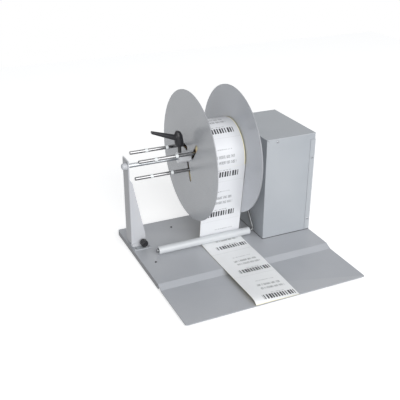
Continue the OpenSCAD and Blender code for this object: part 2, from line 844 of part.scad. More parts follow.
// The web runs from the roll's front, behind and under the guide roller, to the front edge
web_roll_r = roll_d / 2 + run_gap + web_t / 2;
web_roller_r = roller_d / 2 + run_gap + web_t / 2;
web_reach = [roller_y - axis_y, roller_z - axis_z];
web_lean = atan2(web_reach[1], web_reach[0]) - acos((web_roll_r + web_roller_r) / norm(web_reach));
web_lift = 0.8;
web_lay = 0.4;
web_margin = 1;
web_end_y = -base_l + web_margin;
web_turn_end = -91;
web_fall = 0.22;
web_float = 3.2;
function web_height(s) = let (low = front_z + web_lay, high = tray_z + web_lift)
    low + web_float * (1 - s * s * s)
    + (high - low - web_float) * (1 + cos(180 * min(s / web_fall, 1))) / 2;
function web_drop(s) = [-tray_l + s * (web_end_y + tray_l), web_height(s)];
web_path = concat(
    [[axis_y + web_roll_r * cos(web_lean), axis_z + web_roll_r * sin(web_lean)]],
    arc([roller_y, roller_z], web_roller_r, web_lean + 180, web_turn_end, 16),
    [for (i = [0 : 24]) web_drop(i / 24)]);

// A point moved off a path by half its thickness
function path_side(p, i, s) =
    let (a = p[max(i - 1, 0)], b = p[min(i + 1, len(p) - 1)], d = (b - a) / norm(b - a))
    p[i] + s * [-d[1], d[0]];

module label_web() {
    last = len(web_path) - 1;
    color([0.95, 0.95, 0.94]) in_frame() plate_yz([roll_x, roll_x + label_w])
        polygon(concat([for (i = [0 : last]) path_side(web_path, i, web_t / 2)],
            [for (i = [last : -1 : 0]) path_side(web_path, i, -web_t / 2)]));
}

// Dancer: one bent bar carries the guide roller on a pivot in the housing's wall
arm_gap = 10;
arm_x = box_x - arm_gap;
roller_gap = 5.5;
roller_x1 = arm_x - roller_gap;
roller_x0 = roller_x1 - roller_l;
bar_stub = 4;
elbow_back = 2;
elbow_rise = 10.5;
elbow_y = roller_y + elbow_back;
elbow_z = roller_z + elbow_rise;
hub_out_d = 16;
hub_half = 5;
hub_x = [arm_x - hub_half, arm_x + hub_half];
bush_d = 14;
bush_lip = 3;
bush_l = 4;
stop_pin_d = 6;
stop_run = 30;
stop_reach = 4;
stop_lip = 2;
arm_run = norm([elbow_y - pivot_y, elbow_z - pivot_z]);
arm_dir = [elbow_y - pivot_y, elbow_z - pivot_z] / arm_run;
stop_off = bar_d / 2 + stop_pin_d / 2 + run_gap;
stop_place = [pivot_y, pivot_z] + stop_run * arm_dir + stop_off * [-arm_dir[1], arm_dir[0]];

elbow_swell = 0.6;
elbow_d = bar_d + elbow_swell;

// A straight stretch of the bar with a swollen elbow at its start
module bar_run(p, q) {
    d = q - p;
    translate(p) {
        sphere(d = elbow_d);
        rotate([0, acos(d[2] / norm(d)), atan2(d[1], d[0])]) cylinder(d = bar_d, h = norm(d));
    }
}

module dancer_bar() {
    corner = [arm_x, roller_y, roller_z];
    elbow = [arm_x, elbow_y, elbow_z];
    color(bright_steel) in_frame() difference() {
        union() {
            bar_x(bar_d, [roller_x0 - bar_stub, arm_x], roller_y, roller_z);
            bar_run(corner, elbow);
            bar_run(elbow, [arm_x, pivot_y, pivot_z]);
        }
        bar_x(hub_out_d, hub_x + [-cut, cut], pivot_y, pivot_z);
    }
}

module dancer_hub() {
    color(zinc) in_frame() tube_x(hub_out_d, pivot_d + 2 * fit_gap, hub_x, pivot_y, pivot_z);
}

sensor_gap = 3.5;
sensor_x = wall_x + sensor_gap;
sensor_d = 18;
sensor_l = 9;
sensor_ear = 12.5;
sensor_ear_t = 2;
sensor_ear_r = 4;
sensor_boss_d = 7;
sensor_floor = 1;
module dancer_shaft() {
    color(bright_steel) in_frame()
        bar_x(pivot_d, [hub_x[0], sensor_x + sensor_l - sensor_floor], pivot_y, pivot_z);
}

module dancer_bush() {
    color([0.72, 0.55, 0.3]) in_frame() difference() {
        union() {
            bar_x(bush_d, [box_x - bush_l, wall_x], pivot_y, pivot_z);
            bar_x(bush_d + 2 * bush_lip, [box_x - lip_t, box_x], pivot_y, pivot_z);
        }
        bar_x(pivot_d + 2 * fit_gap, [box_x - bush_l - cut, wall_x + cut], pivot_y, pivot_z);
    }
}

module dancer_stop() {
    color(zinc) in_frame() {
        bar_x(stop_pin_d, [arm_x - stop_reach, wall_x], stop_place[0], stop_place[1]);
        bar_x(stop_pin_d + 2 * stop_lip, [wall_x, wall_x + lip_t], stop_place[0], stop_place[1]);
    }
}

module tension_sensor() {
    color([0.2, 0.24, 0.3]) in_frame() difference() {
        union() {
            bar_x(sensor_d, [sensor_x, sensor_x + sensor_l], pivot_y, pivot_z);
            block([sensor_x, sensor_x + sensor_ear_t], [pivot_y - sensor_ear_r, pivot_y + sensor_ear_r],
                [pivot_z - sensor_ear - sensor_ear_r, pivot_z + sensor_ear + sensor_ear_r]);
            for (s = [-1, 1])
                bar_x(sensor_boss_d, [wall_x, sensor_x + cut], pivot_y, pivot_z + s * sensor_ear);
        }
        bar_x(pivot_d + 2 * fit_gap, [wall_x - cut, sensor_x + sensor_l - sensor_floor + run_gap],
            pivot_y, pivot_z);
    }
}

roller_wall = 2;
roller_bush_l = 8;
module guide_roller() {
    color(white_plastic) in_frame() difference() {
        bar_x(roller_d, [roller_x0, roller_x1], roller_y, roller_z);
        bar_x(bar_d + 2 * fit_gap, [roller_x0 - cut, roller_x1 + cut], roller_y, roller_z);
        bar_x(roller_d - 2 * roller_wall, [roller_x0 + roller_bush_l, roller_x1 - roller_bush_l],
            roller_y, roller_z);
    }
}

// Support post: it swings out on a pivot screw once the lock knob is slack
post_front = 10.5;
post_y0 = axis_y - post_front;
post_y1 = post_y0 + post_w;
post_top = axis_z + post_head;
hinge_in = 2.5;
hinge_up = 8.6;
hinge_x = post_t + hinge_in;
hinge_z = tray_z + hinge_up;
hinge_d = 4;
post_corner_r = 6.1;
post_bend_r = 3.5;
post_low = hinge_z - post_corner_r;
swing_gap = 0.5;
plate_rise = 4;
plate_low = hinge_z + plate_rise;
knob_in = 7.5;
knob_up = 6.5;
knob_x = gusset_w - knob_in;
knob_z = hinge_z + knob_up;
knob_r = norm([knob_x - hinge_x, knob_z - hinge_z]);
knob_angle = atan2(knob_z - hinge_z, knob_x - hinge_x);
stud_lock_d = 6;
knee_drop = 43;
knee_h = 9;
knee_w = 5.5;
knee_z = post_top - knee_drop;
waist_h = 34;
waist_z = tray_z + waist_h;
gusset_y1 = post_y0 + post_t;
lug_y0 = gusset_y1 + run_gap;
lug_t = 3;
lug_y1 = lug_y0 + lug_t;
lug_rise = 17;
lug_shoulder = 10;
lug_ahead = 2;
lug_top = hinge_z + lug_rise;
lug_in = 1;
lug_wall = 1.4;
lug_neck = [2, 3.4];
lug_x = [hinge_x - hinge_d / 2 - lug_wall, gusset_w - lug_in];
foot_t = 2;
foot_ahead = 14;
foot_behind = 26;
foot_w = 40;
foot_x = [lug_x[0], lug_x[0] + foot_w];
foot_y = [post_y0 - foot_ahead, lug_y1 + foot_behind];
foot_hole_x = 4;
foot_hole_y = 5;
post_bracket_holes = [for (x = [foot_x[0] + foot_hole_x, foot_x[1] - foot_hole_x],
    y = [foot_y[0] + foot_hole_y, foot_y[1] - foot_hole_y]) [x, y]];
cap_lip = 2;
cap_spigot_d = cap_d - 2 * cap_lip;

// What is cut away to round the bend between the post's side and its front
module post_bend() {
    difference() {
        block([-cut, post_bend_r], [post_y0 - cut, post_y0 + post_bend_r], [plate_low, post_top + cut]);
        bar_z(2 * post_bend_r, post_bend_r, post_y0 + post_bend_r, [plate_low - cut, post_top + 2 * cut]);
    }
}

module support_post() {
    corner_from = 180 + acos(hinge_x / post_corner_r);
    color(housing_paint) in_frame() difference() {
        union() {
            block([0, post_t], [gusset_y1 - cut, post_y1], [plate_low, post_top]);
            plate_xz([post_y0, gusset_y1])
                polygon(concat(arc([hinge_x, hinge_z], post_corner_r, corner_from, 270, 8),
                    [[gusset_w, post_low], [gusset_w, waist_z], [post_t + knee_w, knee_z - knee_h],
                    [post_t, knee_z], [post_t, post_top], [0, post_top]]));
        }
        bar_x(cap_spigot_d + 2 * fit_gap, [-cut, post_t + cut], axis_y, axis_z);
        bar_y(hinge_d + 2 * fit_gap, hinge_x, [post_y0 - cut, gusset_y1 + cut], hinge_z);
        bar_y(stud_lock_d + 2 * fit_gap, knob_x, [post_y0 - cut, gusset_y1 + cut], knob_z);
        post_bend();
    }
}

// The notch lets the knob's stud swing up and out of the bracket
module knob_notch() {
    half = stud_lock_d / 2 + 2 * run_gap;
    notch_end = 135;
    translate([hinge_x, hinge_z]) {
        rotate(knob_angle) translate([knob_r, 0]) circle(r = half);
        polygon(concat(arc([0, 0], knob_r + half, knob_angle, notch_end, 24),
            arc([0, 0], knob_r - half, notch_end, knob_angle, 24)));
    }
}

module post_bracket() {
    color(housing_paint) in_frame() difference() {
        union() {
            plate_xz([lug_y0, lug_y1]) difference() {
                polygon([[lug_x[0], tray_z], [lug_x[1], tray_z], [lug_x[1], hinge_z + lug_shoulder],
                    [knob_x + lug_ahead, lug_top], [post_t + swing_gap, lug_top],
                    [post_t + swing_gap, hinge_z + lug_neck[1]], [lug_x[0], hinge_z + lug_neck[0]]]);
                knob_notch();
            }
            block(foot_x, foot_y, [tray_z, tray_z + foot_t]);
        }
        bar_y(hinge_d + 2 * fit_gap, hinge_x, [lug_y0 - cut, lug_y1 + cut], hinge_z);
        for (p = post_bracket_holes)
            bar_z(small_screw_d + 2 * fit_gap, p[0], p[1], [tray_z - cut, tray_z + foot_t + cut]);
    }
}

module post_bracket_screws() {
    color(zinc) in_frame()
        for (p = post_bracket_holes)
            translate([p[0], p[1], tray_z + foot_t]) screw(small_screw_d, small_screw_l);
}

pivot_head_d = 7;
pivot_head_l = 2.5;
pivot_nut_d = 6;
pivot_nut_l = 3;
module post_pivot() {
    color(bright_steel) in_frame() {
        bar_y(pivot_head_d, hinge_x, [post_y0 - run_gap - pivot_head_l, post_y0 - run_gap], hinge_z);
        bar_y(hinge_d, hinge_x, [post_y0 - pivot_head_l, lug_y1 + pivot_nut_l - cut], hinge_z);
        bar_y(pivot_nut_d, hinge_x, [lug_y1, lug_y1 + pivot_nut_l], hinge_z);
    }
}

module end_bearing_cap() {
    color([0.8, 0.81, 0.82]) in_frame() on_spindle() difference() {
        union() {
            bar_x(cap_d, [-cap_reach, 0], 0, 0);
            bar_x(cap_spigot_d, [-cut, post_t], 0, 0);
        }
        bar_x(bush_out_d + 2 * fit_gap, [-cap_reach + cap_wall, post_t + cut], 0, 0);
    }
}

bush_wall = 0.6;
bush_out_d = shaft_d + 2 * bush_wall;
bush_lap = 0.25;
module end_bush() {
    slope = (shaft_d / 2 - tip_r) / (cone_x - tip_x);
    low_x = -cap_reach + cap_wall;
    r_at = [for (x = [low_x, post_t]) tip_r + bush_lap + slope * (x - tip_x)];
    color([0.72, 0.55, 0.3]) in_frame() on_spindle() difference() {
        bar_x(bush_out_d, [low_x, post_t], 0, 0);
        translate([low_x - cut, 0, 0]) rotate([0, 90, 0])
            cylinder(r1 = r_at[0] - slope * cut, r2 = r_at[1] + slope * cut, h = post_t - low_x + 2 * cut);
    }
}

knob_base_l = 4;
knob_base_d = 12;
knob_ribs = 12;
knob_rib_d = 2.4;
module lock_knob() {
    color(black_plastic) in_frame()
        translate([knob_x, post_y0 - run_gap, knob_z]) rotate([90, 0, 0]) difference() {
        union() {
            cylinder(d = knob_base_d, h = knob_base_l);
            translate([0, 0, knob_base_l]) cylinder(d = knob_d, h = knob_l - knob_base_l);
        }
        for (i = [0 : knob_ribs - 1])
            rotate(i * 360 / knob_ribs) translate([knob_d / 2 + 0.3 * knob_rib_d, 0, knob_base_l - cut])
                cylinder(d = knob_rib_d, h = knob_l + cut);
        translate([0, 0, -cut]) cylinder(d = stud_lock_d + 2 * fit_gap, h = stud_in + cut);
    }
}

stud_in = 10;
lock_nut_l = 5;
lock_nut_d = 12;
lock_stud_tail = 1;
module lock_stud() {
    color(bright_steel) in_frame()
        bar_y(stud_lock_d, knob_x,
            [post_y0 - run_gap - stud_in, lug_y1 + run_gap + lock_nut_l + lock_stud_tail], knob_z);
}

module lock_nut() {
    color(zinc) in_frame() difference() {
        bar_y(lock_nut_d, knob_x, [lug_y1 + run_gap, lug_y1 + run_gap + lock_nut_l], knob_z);
        bar_y(stud_lock_d + 2 * fit_gap, knob_x, [lug_y1, lug_y1 + 2 * lock_nut_l], knob_z);
    }
}

base_plate();
rubber_feet();
foot_screws();
housing();
side_cover();
cover_screws();
housing_screws();
housing_base_screws();
drive_bracket();
drive_bracket_screws();
wall_bearing();
bracket_bearing();
gear_motor();
motor_screws();
motor_shaft();
motor_pulley();
drive_belt();
driven_pulley();
shaft_rings();
control_board();
board_standoffs();
board_parts();
power_inlet();
power_switch();
switch_rocker();
spindle_shaft();
inner_hub();
hub_ring();
hub_set_screws();
inner_flange();
core_rod_1();
core_rod_2();
core_rod_3();
rod_nut_1();
rod_nut_2();
rod_nut_3();
outer_flange();
clamp_collar();
collar_ring();
clamp_lever();
lever_stud();
support_post();
post_bracket();
post_bracket_screws();
post_pivot();
end_bearing_cap();
end_bush();
lock_knob();
lock_stud();
lock_nut();
dancer_bar();
dancer_hub();
dancer_shaft();
dancer_bush();
dancer_stop();
tension_sensor();
guide_roller();
paper_core();
label_roll();
label_web();
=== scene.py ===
"""Looks of a table-top label rewinder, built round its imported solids. Metres, in the part's own frame."""

import json
import math
import random

import bmesh
import bpy
from mathutils import Matrix, Quaternion, Vector


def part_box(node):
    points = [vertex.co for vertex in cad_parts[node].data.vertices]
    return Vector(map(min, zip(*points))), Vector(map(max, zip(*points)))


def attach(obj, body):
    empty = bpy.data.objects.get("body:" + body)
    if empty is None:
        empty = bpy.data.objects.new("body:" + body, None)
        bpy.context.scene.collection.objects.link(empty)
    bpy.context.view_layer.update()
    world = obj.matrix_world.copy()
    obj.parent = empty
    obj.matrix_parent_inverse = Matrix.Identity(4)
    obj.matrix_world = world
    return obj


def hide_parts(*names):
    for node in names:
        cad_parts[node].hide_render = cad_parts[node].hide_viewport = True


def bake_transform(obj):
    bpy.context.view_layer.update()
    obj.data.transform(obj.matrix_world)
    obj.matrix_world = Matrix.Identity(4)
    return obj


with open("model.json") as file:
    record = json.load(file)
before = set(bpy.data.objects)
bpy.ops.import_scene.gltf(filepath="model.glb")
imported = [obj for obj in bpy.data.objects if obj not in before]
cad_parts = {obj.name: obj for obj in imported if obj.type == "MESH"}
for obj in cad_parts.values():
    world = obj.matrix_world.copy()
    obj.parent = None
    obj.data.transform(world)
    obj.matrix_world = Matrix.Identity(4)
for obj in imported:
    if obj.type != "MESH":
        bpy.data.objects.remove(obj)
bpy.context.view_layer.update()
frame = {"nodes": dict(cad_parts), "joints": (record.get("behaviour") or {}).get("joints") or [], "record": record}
scene = bpy.context.scene
nodes = frame["nodes"]
joints = {joint["name"]: joint for joint in frame["joints"]}
mm = 0.001
X_AXIS = Vector((1, 0, 0))
Y_AXIS = Vector((0, 1, 0))
Z_AXIS = Vector((0, 0, 1))

# Camera at the photograph's angle
camera_place = Vector((-0.6169, -1.1910, 0.7766))
camera_aim = Vector((-0.0655, -0.0530, 0.1653))
camera_roll = math.radians(0.65)
camera_lens = 59.54
camera_shift = (-0.030, 0.001)

camera = bpy.data.objects.new("camera", bpy.data.cameras.new("camera"))
camera.data.lens = camera_lens
camera.data.shift_x, camera.data.shift_y = camera_shift
camera.location = camera_place
camera.rotation_mode = "QUATERNION"
facing = (camera_aim - camera_place).to_track_quat("-Z", "Y")
camera.rotation_quaternion = facing @ Quaternion((0, 0, 1), camera_roll)
scene.collection.objects.link(camera)
scene.camera = camera


# Node materials
class Graph:
    """A node material in the making, with short calls for the nodes it uses most."""

    def __init__(self, name):
        self.material = bpy.data.materials.new(name)
        self.material.use_nodes = True
        self.tree = self.material.node_tree
        self.shader = next(n for n in self.tree.nodes if n.type == "BSDF_PRINCIPLED")
        self.place = self.node("ShaderNodeTexCoord").outputs["Object"]

    def node(self, kind, **settings):
        made = self.tree.nodes.new(kind)
        for name, value in settings.items():
            setattr(made, name, value)
        return made

    def feed(self, socket, value):
        if isinstance(value, bpy.types.NodeSocket):
            self.tree.links.new(value, socket)
        elif socket.type == "RGBA":
            socket.default_value = (*value[:3], 1)
        else:
            socket.default_value = value

    def math(self, operation, a, b=0.0):
        made = self.node("ShaderNodeMath", operation=operation)
        self.feed(made.inputs[0], a)
        self.feed(made.inputs[1], b)
        return made.outputs[0]

    def both(self, *masks):
        product = masks[0]
        for mask in masks[1:]:
            product = self.math("MULTIPLY", product, mask)
        return product

    def between(self, value, low, high):
        """1 where low < value < high, and 0 elsewhere."""
        return self.both(self.math("GREATER_THAN", value, low), self.math("LESS_THAN", value, high))

    def spread(self, value, low, high, start=0.0, end=1.0):
        made = self.node("ShaderNodeMapRange")
        for socket, number in zip(made.inputs, (value, low, high, start, end)):
            self.feed(socket, number)
        return made.outputs[0]

    def stretched(self, stretch):
        made = self.node("ShaderNodeMapping")
        self.feed(made.inputs["Vector"], self.place)
        made.inputs["Scale"].default_value = stretch
        return made.outputs[0]

    def noise(self, scale, detail=2.0, stretch=(1, 1, 1)):
        made = self.node("ShaderNodeTexNoise")
        self.feed(made.inputs["Vector"], self.stretched(stretch))
        made.inputs["Scale"].default_value = scale
        made.inputs["Detail"].default_value = detail
        return made.outputs["Fac"]

    def flat(self, layer):
        """Both directions of a flat map."""
        split = self.node("ShaderNodeSeparateXYZ")
        self.feed(split.inputs[0], self.node("ShaderNodeUVMap", uv_map=layer).outputs[0])
        return split.outputs[0], split.outputs[1]

    def dice(self, value):
        """The same random number from 0 to 1 for each whole part of value."""
        made = self.node("ShaderNodeTexWhiteNoise", noise_dimensions="1D")
        self.feed(made.inputs["W"], self.math("FLOOR", value))
        return made.outputs["Value"]

    def mix(self, factor, first, second):
        made = self.node("ShaderNodeMix", data_type="RGBA")
        self.feed(made.inputs[0], factor)
        self.feed(made.inputs[6], first)
        self.feed(made.inputs[7], second)
        return made.outputs[2]

    def relief(self, height, strength, depth):
        made = self.node("ShaderNodeBump")
        made.inputs["Strength"].default_value = strength
        made.inputs["Distance"].default_value = depth
        self.feed(made.inputs["Height"], height)
        self.feed(self.shader.inputs["Normal"], made.outputs[0])

    def set(self, **values):
        for name, value in values.items():
            self.feed(self.shader.inputs[name.replace("_", " ").title()], value)


# Ranges that all surfaces share: noise of patches and of grain, how far an edge bulges, and how much of its paler
# edge colour it takes, partly wear and partly a painted highlight
patch_range = (0.3, 0.7)
grain_range = (0.25, 0.75)
edge_bulge = (0.52, 0.60)
paler_edge_share = 0.5


def surface(name, dark, light, rough, vary=0.07, metal=0.0, grain=900.0, stretch=(1, 1, 1),
            strength=0.1, depth=0.1 * mm, patches=14.0, wear_and_highlight=None, shine=0.5):
    """Broad patches of two tones, a fine grain in gloss and relief, and paler edges where their colour is given:
    partly wear, partly a painted highlight.
    """
    g = Graph(name)
    fine = g.noise(grain, 3.0, stretch)
    colour = g.mix(g.spread(g.noise(patches), *patch_range), dark, light)
    # Bulging edges turn paler: partly wear, partly a painted highlight
    if wear_and_highlight:
        bulge = g.node("ShaderNodeNewGeometry").outputs["Pointiness"]
        colour = g.mix(g.spread(bulge, *edge_bulge, 0, paler_edge_share), colour, wear_and_highlight)
    g.set(base_color=colour, metallic=metal)
    g.shader.inputs["Specular IOR Level"].default_value = shine
    g.set(roughness=g.spread(fine, *grain_range, rough - vary, rough + vary))
    g.relief(fine, strength, depth)
    return g.material


ALONG_X = (0.02, 1, 1)
ROUND_X = (1, 0.02, 0.02)
finishes = {
    "sheet_paint": surface("grey_powder_coat", (0.410, 0.427, 0.458), (0.432, 0.447, 0.478), 0.38,
                           grain=1500.0, wear_and_highlight=(0.52, 0.53, 0.55)),
    "housing_paint": surface("pale_powder_coat", (0.360, 0.384, 0.414), (0.378, 0.402, 0.432), 0.40,
                             grain=1500.0, wear_and_highlight=(0.50, 0.52, 0.54)),
    "bright_steel": surface("bright_plating", (0.27, 0.27, 0.275), (0.32, 0.32, 0.325), 0.15, 0.02, 1.0,
                            grain=2500.0, stretch=ALONG_X, strength=0.01, depth=0.01 * mm),
    "zinc": surface("zinc_plating", (0.36, 0.37, 0.39), (0.46, 0.47, 0.49), 0.36, 0.08, 1.0,
                    grain=700.0, strength=0.06, patches=160.0),
    "turned_alu": surface("turned_aluminium", (0.66, 0.67, 0.69), (0.74, 0.75, 0.76), 0.32, 0.06, 0.7,
                          grain=2200.0, stretch=ROUND_X, strength=0.10, depth=0.03 * mm),
    "black_plastic": surface("black_moulding", (0.014, 0.014, 0.017), (0.019, 0.019, 0.023), 0.38,
                             grain=2600.0, strength=0.12, depth=0.05 * mm, wear_and_highlight=(0.04, 0.04, 0.045),
                             shine=0.4),
    "board": surface("green_board", (0.012, 0.10, 0.045), (0.02, 0.13, 0.06), 0.35, patches=90.0),
    "motor_case": surface("motor_steel", (0.20, 0.21, 0.22), (0.26, 0.27, 0.28), 0.36, metal=0.9,
                          stretch=ALONG_X),
    "bronze": surface("sintered_bronze", (0.42, 0.27, 0.12), (0.50, 0.34, 0.17), 0.42, metal=1.0,
                      grain=2600.0, strength=0.3),
    "rubber": surface("black_rubber", (0.018, 0.018, 0.018), (0.03, 0.03, 0.03), 0.75, grain=1800.0,
                      strength=0.3),
    "roller_white": surface("white_roller", (0.57, 0.59, 0.61), (0.61, 0.63, 0.65), 0.38, grain=2400.0,
                            stretch=ROUND_X, strength=0.08, depth=0.04 * mm),
    "core_board": surface("kraft_board", (0.40, 0.27, 0.15), (0.52, 0.37, 0.22), 0.85, grain=1300.0,
                          strength=0.4, patches=70.0),
}

# Label stock: white labels on a yellow liner, printed with plain bars and strokes
web_width = 102 * mm
label_pitch = 103 * mm
label_gap = 0.9 * mm
gap_after_code = 19 * mm
bare_from = 527.5 * mm
liner_edge = 2.4 * mm
rim_edge = 0.9 * mm
code_height = 13.4 * mm
code_bar = 6.4 * mm
thin_bar = 2.4 * mm
bar_spread = 2.6 * mm
code_span = (23 * mm, 98 * mm)
# Printed lines of one label: place from the bar code, height, first and last edge, width of a stroke
printed_lines = (
    (-58.5 * mm, 2.2 * mm, 38 * mm, 82 * mm, 1.1 * mm),
    (-42 * mm, 6.8 * mm, 33 * mm, 88 * mm, 2.3 * mm),
    (-29 * mm, 6.8 * mm, 35 * mm, 91 * mm, 2.3 * mm),
    (-10.5 * mm, 2.2 * mm, 46 * mm, 79 * mm, 1.4 * mm),
)
paper_white = (0.75, 0.76, 0.785)
# Painted light: the paper lying on the base is a lighter copy of the same white
run_white_painted_light = (0.88, 0.89, 0.90)
liner_cream = (0.93, 0.88, 0.62)
liner_yellow = (0.93, 0.69, 0.28)
# Painted shade: a thin olive strip along the paper's right edge
painted_edge_shade = (0.30, 0.27, 0.10)
# The gap between labels: a real cut, greyed by a painted shadow
gap_painted_shadow = (0.42, 0.42, 0.40)
ink_black = (0.03, 0.03, 0.035)
text_ink = 0.68
faint_share = 0.1
blank_strokes = 0.22
scratch_range = (0.42, 0.58)
gap_shade = 0.3
paper_shade = 0.98
fibre_relief = 0.15
layer_thick = 0.24 * mm
layer_drift = 2.9 * mm


def label_stock(name, paper):
    """Printed face of the web. Its two maps are in metres, and only the print map moves sideways."""
    g = Graph(name)
    across, along = g.flat("print")
    sheet_across, sheet_along = g.flat("sheet")
    lead = label_pitch - gap_after_code
    step = g.math("FLOORED_MODULO", g.math("ADD", along, lead), label_pitch)
    offset = g.math("SUBTRACT", step, lead)

    rows = g.between(offset, -code_height / 2, code_height / 2)
    draw = g.dice(g.math("DIVIDE", across, code_bar))
    bar_width = g.spread(draw, 0, 1, thin_bar, thin_bar + bar_spread)
    bars = g.math("LESS_THAN", g.math("FLOORED_MODULO", across, code_bar), bar_width)
    ink = g.both(rows, bars, g.between(across, *code_span))
    scratch = g.noise(900.0, 1.0)
    for place, height, first, last, stroke in printed_lines:
        line = g.between(offset, place - height / 2, place + height / 2)
        word = g.math("GREATER_THAN", g.dice(g.math("DIVIDE", across, stroke)), blank_strokes)
        broken = g.spread(scratch, *scratch_range, faint_share * text_ink, text_ink)
        ink = g.math("MAXIMUM", ink, g.both(line, word, broken, g.between(across, first, last)))

    gap = g.between(offset, gap_after_code - label_gap, gap_after_code)
    edge = g.math("SUBTRACT", 1.0, g.between(sheet_across, liner_edge, web_width - liner_edge))
    edge = g.math("MAXIMUM", edge, g.math("GREATER_THAN", sheet_along, bare_from))
    fibre = g.noise(1600.0, 3.0)
    white = g.mix(g.spread(g.noise(30.0), *patch_range), paper, [paper_shade * c for c in paper])
    # The gap between labels is a grey line: the cut, darkened by a painted shadow
    stock = g.mix(edge, g.mix(g.math("MULTIPLY", gap, gap_shade), white, gap_painted_shadow), liner_cream)
    # A thin olive strip along the right edge is painted shade
    stock = g.mix(g.math("GREATER_THAN", sheet_across, web_width - rim_edge), stock, painted_edge_shade)
    g.set(base_color=g.mix(ink, stock, ink_black), roughness=g.spread(fibre, 0.2, 0.8, 0.42, 0.56))
    cut = g.math("MAXIMUM", gap, edge)
    g.relief(g.math("SUBTRACT", g.math("MULTIPLY", fibre, fibre_relief), cut), 0.2, 0.1 * mm)
    return g.material


def wound_edges():
    """Side of the roll: thin rings of white paper and yellow liner about the spindle."""
    g = Graph("wound_edges")
    split = g.node("ShaderNodeSeparateXYZ")
    g.feed(split.inputs[0], g.place)
    y = g.math("SUBTRACT", split.outputs[1], axis.y)
    z = g.math("SUBTRACT", split.outputs[2], axis.z)
    radius = g.math("SQRT", g.math("ADD", g.math("MULTIPLY", y, y), g.math("MULTIPLY", z, z)))
    layer = g.dice(g.math("DIVIDE", radius, layer_thick))
    drift = g.dice(g.math("DIVIDE", radius, layer_drift))
    mixed = g.spread(g.math("ADD", layer, drift), 0.4, 1.6)
    g.set(base_color=g.mix(mixed, liner_yellow, liner_cream), roughness=g.spread(layer, 0, 1, 0.6, 0.75))
    g.relief(layer, 0.3, 0.1 * mm)
    return g.material


axis = Vector(joints["spindle_spin"]["pos_m"])
finishes["paper"] = label_stock("printed_labels", paper_white)
# The run's lighter copy of the paper is painted light
run_paper_painted_light = label_stock("printed_labels_painted_light", run_white_painted_light)
liner_back = surface("liner_back", liner_yellow, liner_cream, 0.38, grain=1500.0, patches=40.0)
roll_side = wound_edges()
grip_ring = surface("pale_ring", (0.76, 0.79, 0.80), (0.82, 0.85, 0.86), 0.42, grain=1500.0)
black_oxide = surface("black_oxide", (0.016, 0.016, 0.017), (0.03, 0.03, 0.031), 0.42, grain=1200.0)
# Painted light: a lighter copy of the housing paint for the post, its pivot and its bearing cap
post_painted_light = surface("post_coat_painted_light", (0.500, 0.512, 0.540), (0.522, 0.533, 0.562), 0.40, grain=1500.0,
                     wear_and_highlight=(0.58, 0.59, 0.61))
rod_steel = surface("drawn_steel", (0.17, 0.175, 0.18), (0.22, 0.225, 0.23), 0.46, metal=1.0,
                    grain=2200.0)
satin_alu = surface("satin_aluminium", (0.70, 0.71, 0.73), (0.75, 0.76, 0.78), 0.34, metal=0.2,
                    grain=2200.0, stretch=ROUND_X)
disc_paint = surface("disc_coat", (0.490, 0.504, 0.528), (0.510, 0.524, 0.548), 0.27, 0.05, grain=1500.0)
# Painted light: a lighter copy of the disc paint for the inner disc, standing in for light thrown back from the
# paper
inner_disc_painted_light = surface("inner_disc_coat_painted_light", (0.580, 0.598, 0.632), (0.602, 0.620, 0.655), 0.27, 0.05,
                      grain=1500.0)
chrome = surface("chrome", (0.46, 0.48, 0.50), (0.50, 0.52, 0.54), 0.14, 0.03, 1.0, grain=2500.0,
                 stretch=ALONG_X, strength=0.01, depth=0.01 * mm)
# Painted shade: a darker copy of the disc paint for the discs' rims and slot walls
painted_rim_shade = surface("disc_rim_painted_shade", (0.33, 0.34, 0.36), (0.35, 0.36, 0.38), 0.45, grain=1500.0)
# Painted shade for the base's end faces and skirts
shaded_coat = surface("shaded_coat", (0.172, 0.176, 0.190), (0.192, 0.196, 0.210), 0.45, grain=1500.0)
# Painted shade: a darker copy of the post's paint for its outer side
post_side_painted_shade = surface("post_side_shade_coat", (0.335, 0.340, 0.358), (0.355, 0.360, 0.378), 0.40,
                          grain=1500.0)

# Every solid takes the finish of its slot
for part in frame["record"]["subparts"]:
    solid = nodes[part["node"]]
    solid.data.materials.clear()
    solid.data.materials.append(finishes[part["material_slot"]])
nodes["lever_stud"].data.materials[0] = black_oxide
nodes["spindle_shaft"].data.materials[0] = chrome
nodes["clamp_collar"].data.materials[0] = satin_alu
nodes["post_pivot"].data.materials[0] = post_painted_light


# Mesh helpers: distances within which corners are joined, in a new mesh and in a packed one
weld = 0.001 * mm
packed_weld = 0.002 * mm


def to_mesh(bm, name, crease=35):
    """A mesh with its normals out, smooth except across edges sharper than crease."""
    bmesh.ops.remove_doubles(bm, verts=bm.verts, dist=weld)
    bmesh.ops.recalc_face_normals(bm, faces=bm.faces)
    mesh = bpy.data.meshes.new(name)
    bm.to_mesh(mesh)
    bm.free()
    mesh.shade_smooth()
    mesh.set_sharp_from_angle(angle=math.radians(crease))
    return mesh


def add_piece(name, mesh, slot, body=None, stands_for=(), material=None):
    """A new object with its finish, or the finish of its slot, hiding the solids it stands for, on the body it
    rides on.
    """
    obj = bpy.data.objects.new(name, mesh)
    scene.collection.objects.link(obj)
    mesh.materials.append(material or finishes[slot])
    if stands_for:
        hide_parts(*stands_for)
    if body:
        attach(obj, body)
    return obj


# Faces broader than this are shaded flat, and faces that meet at less than this angle count as one
broad_face = 6 * mm
one_plane = math.radians(0.4)


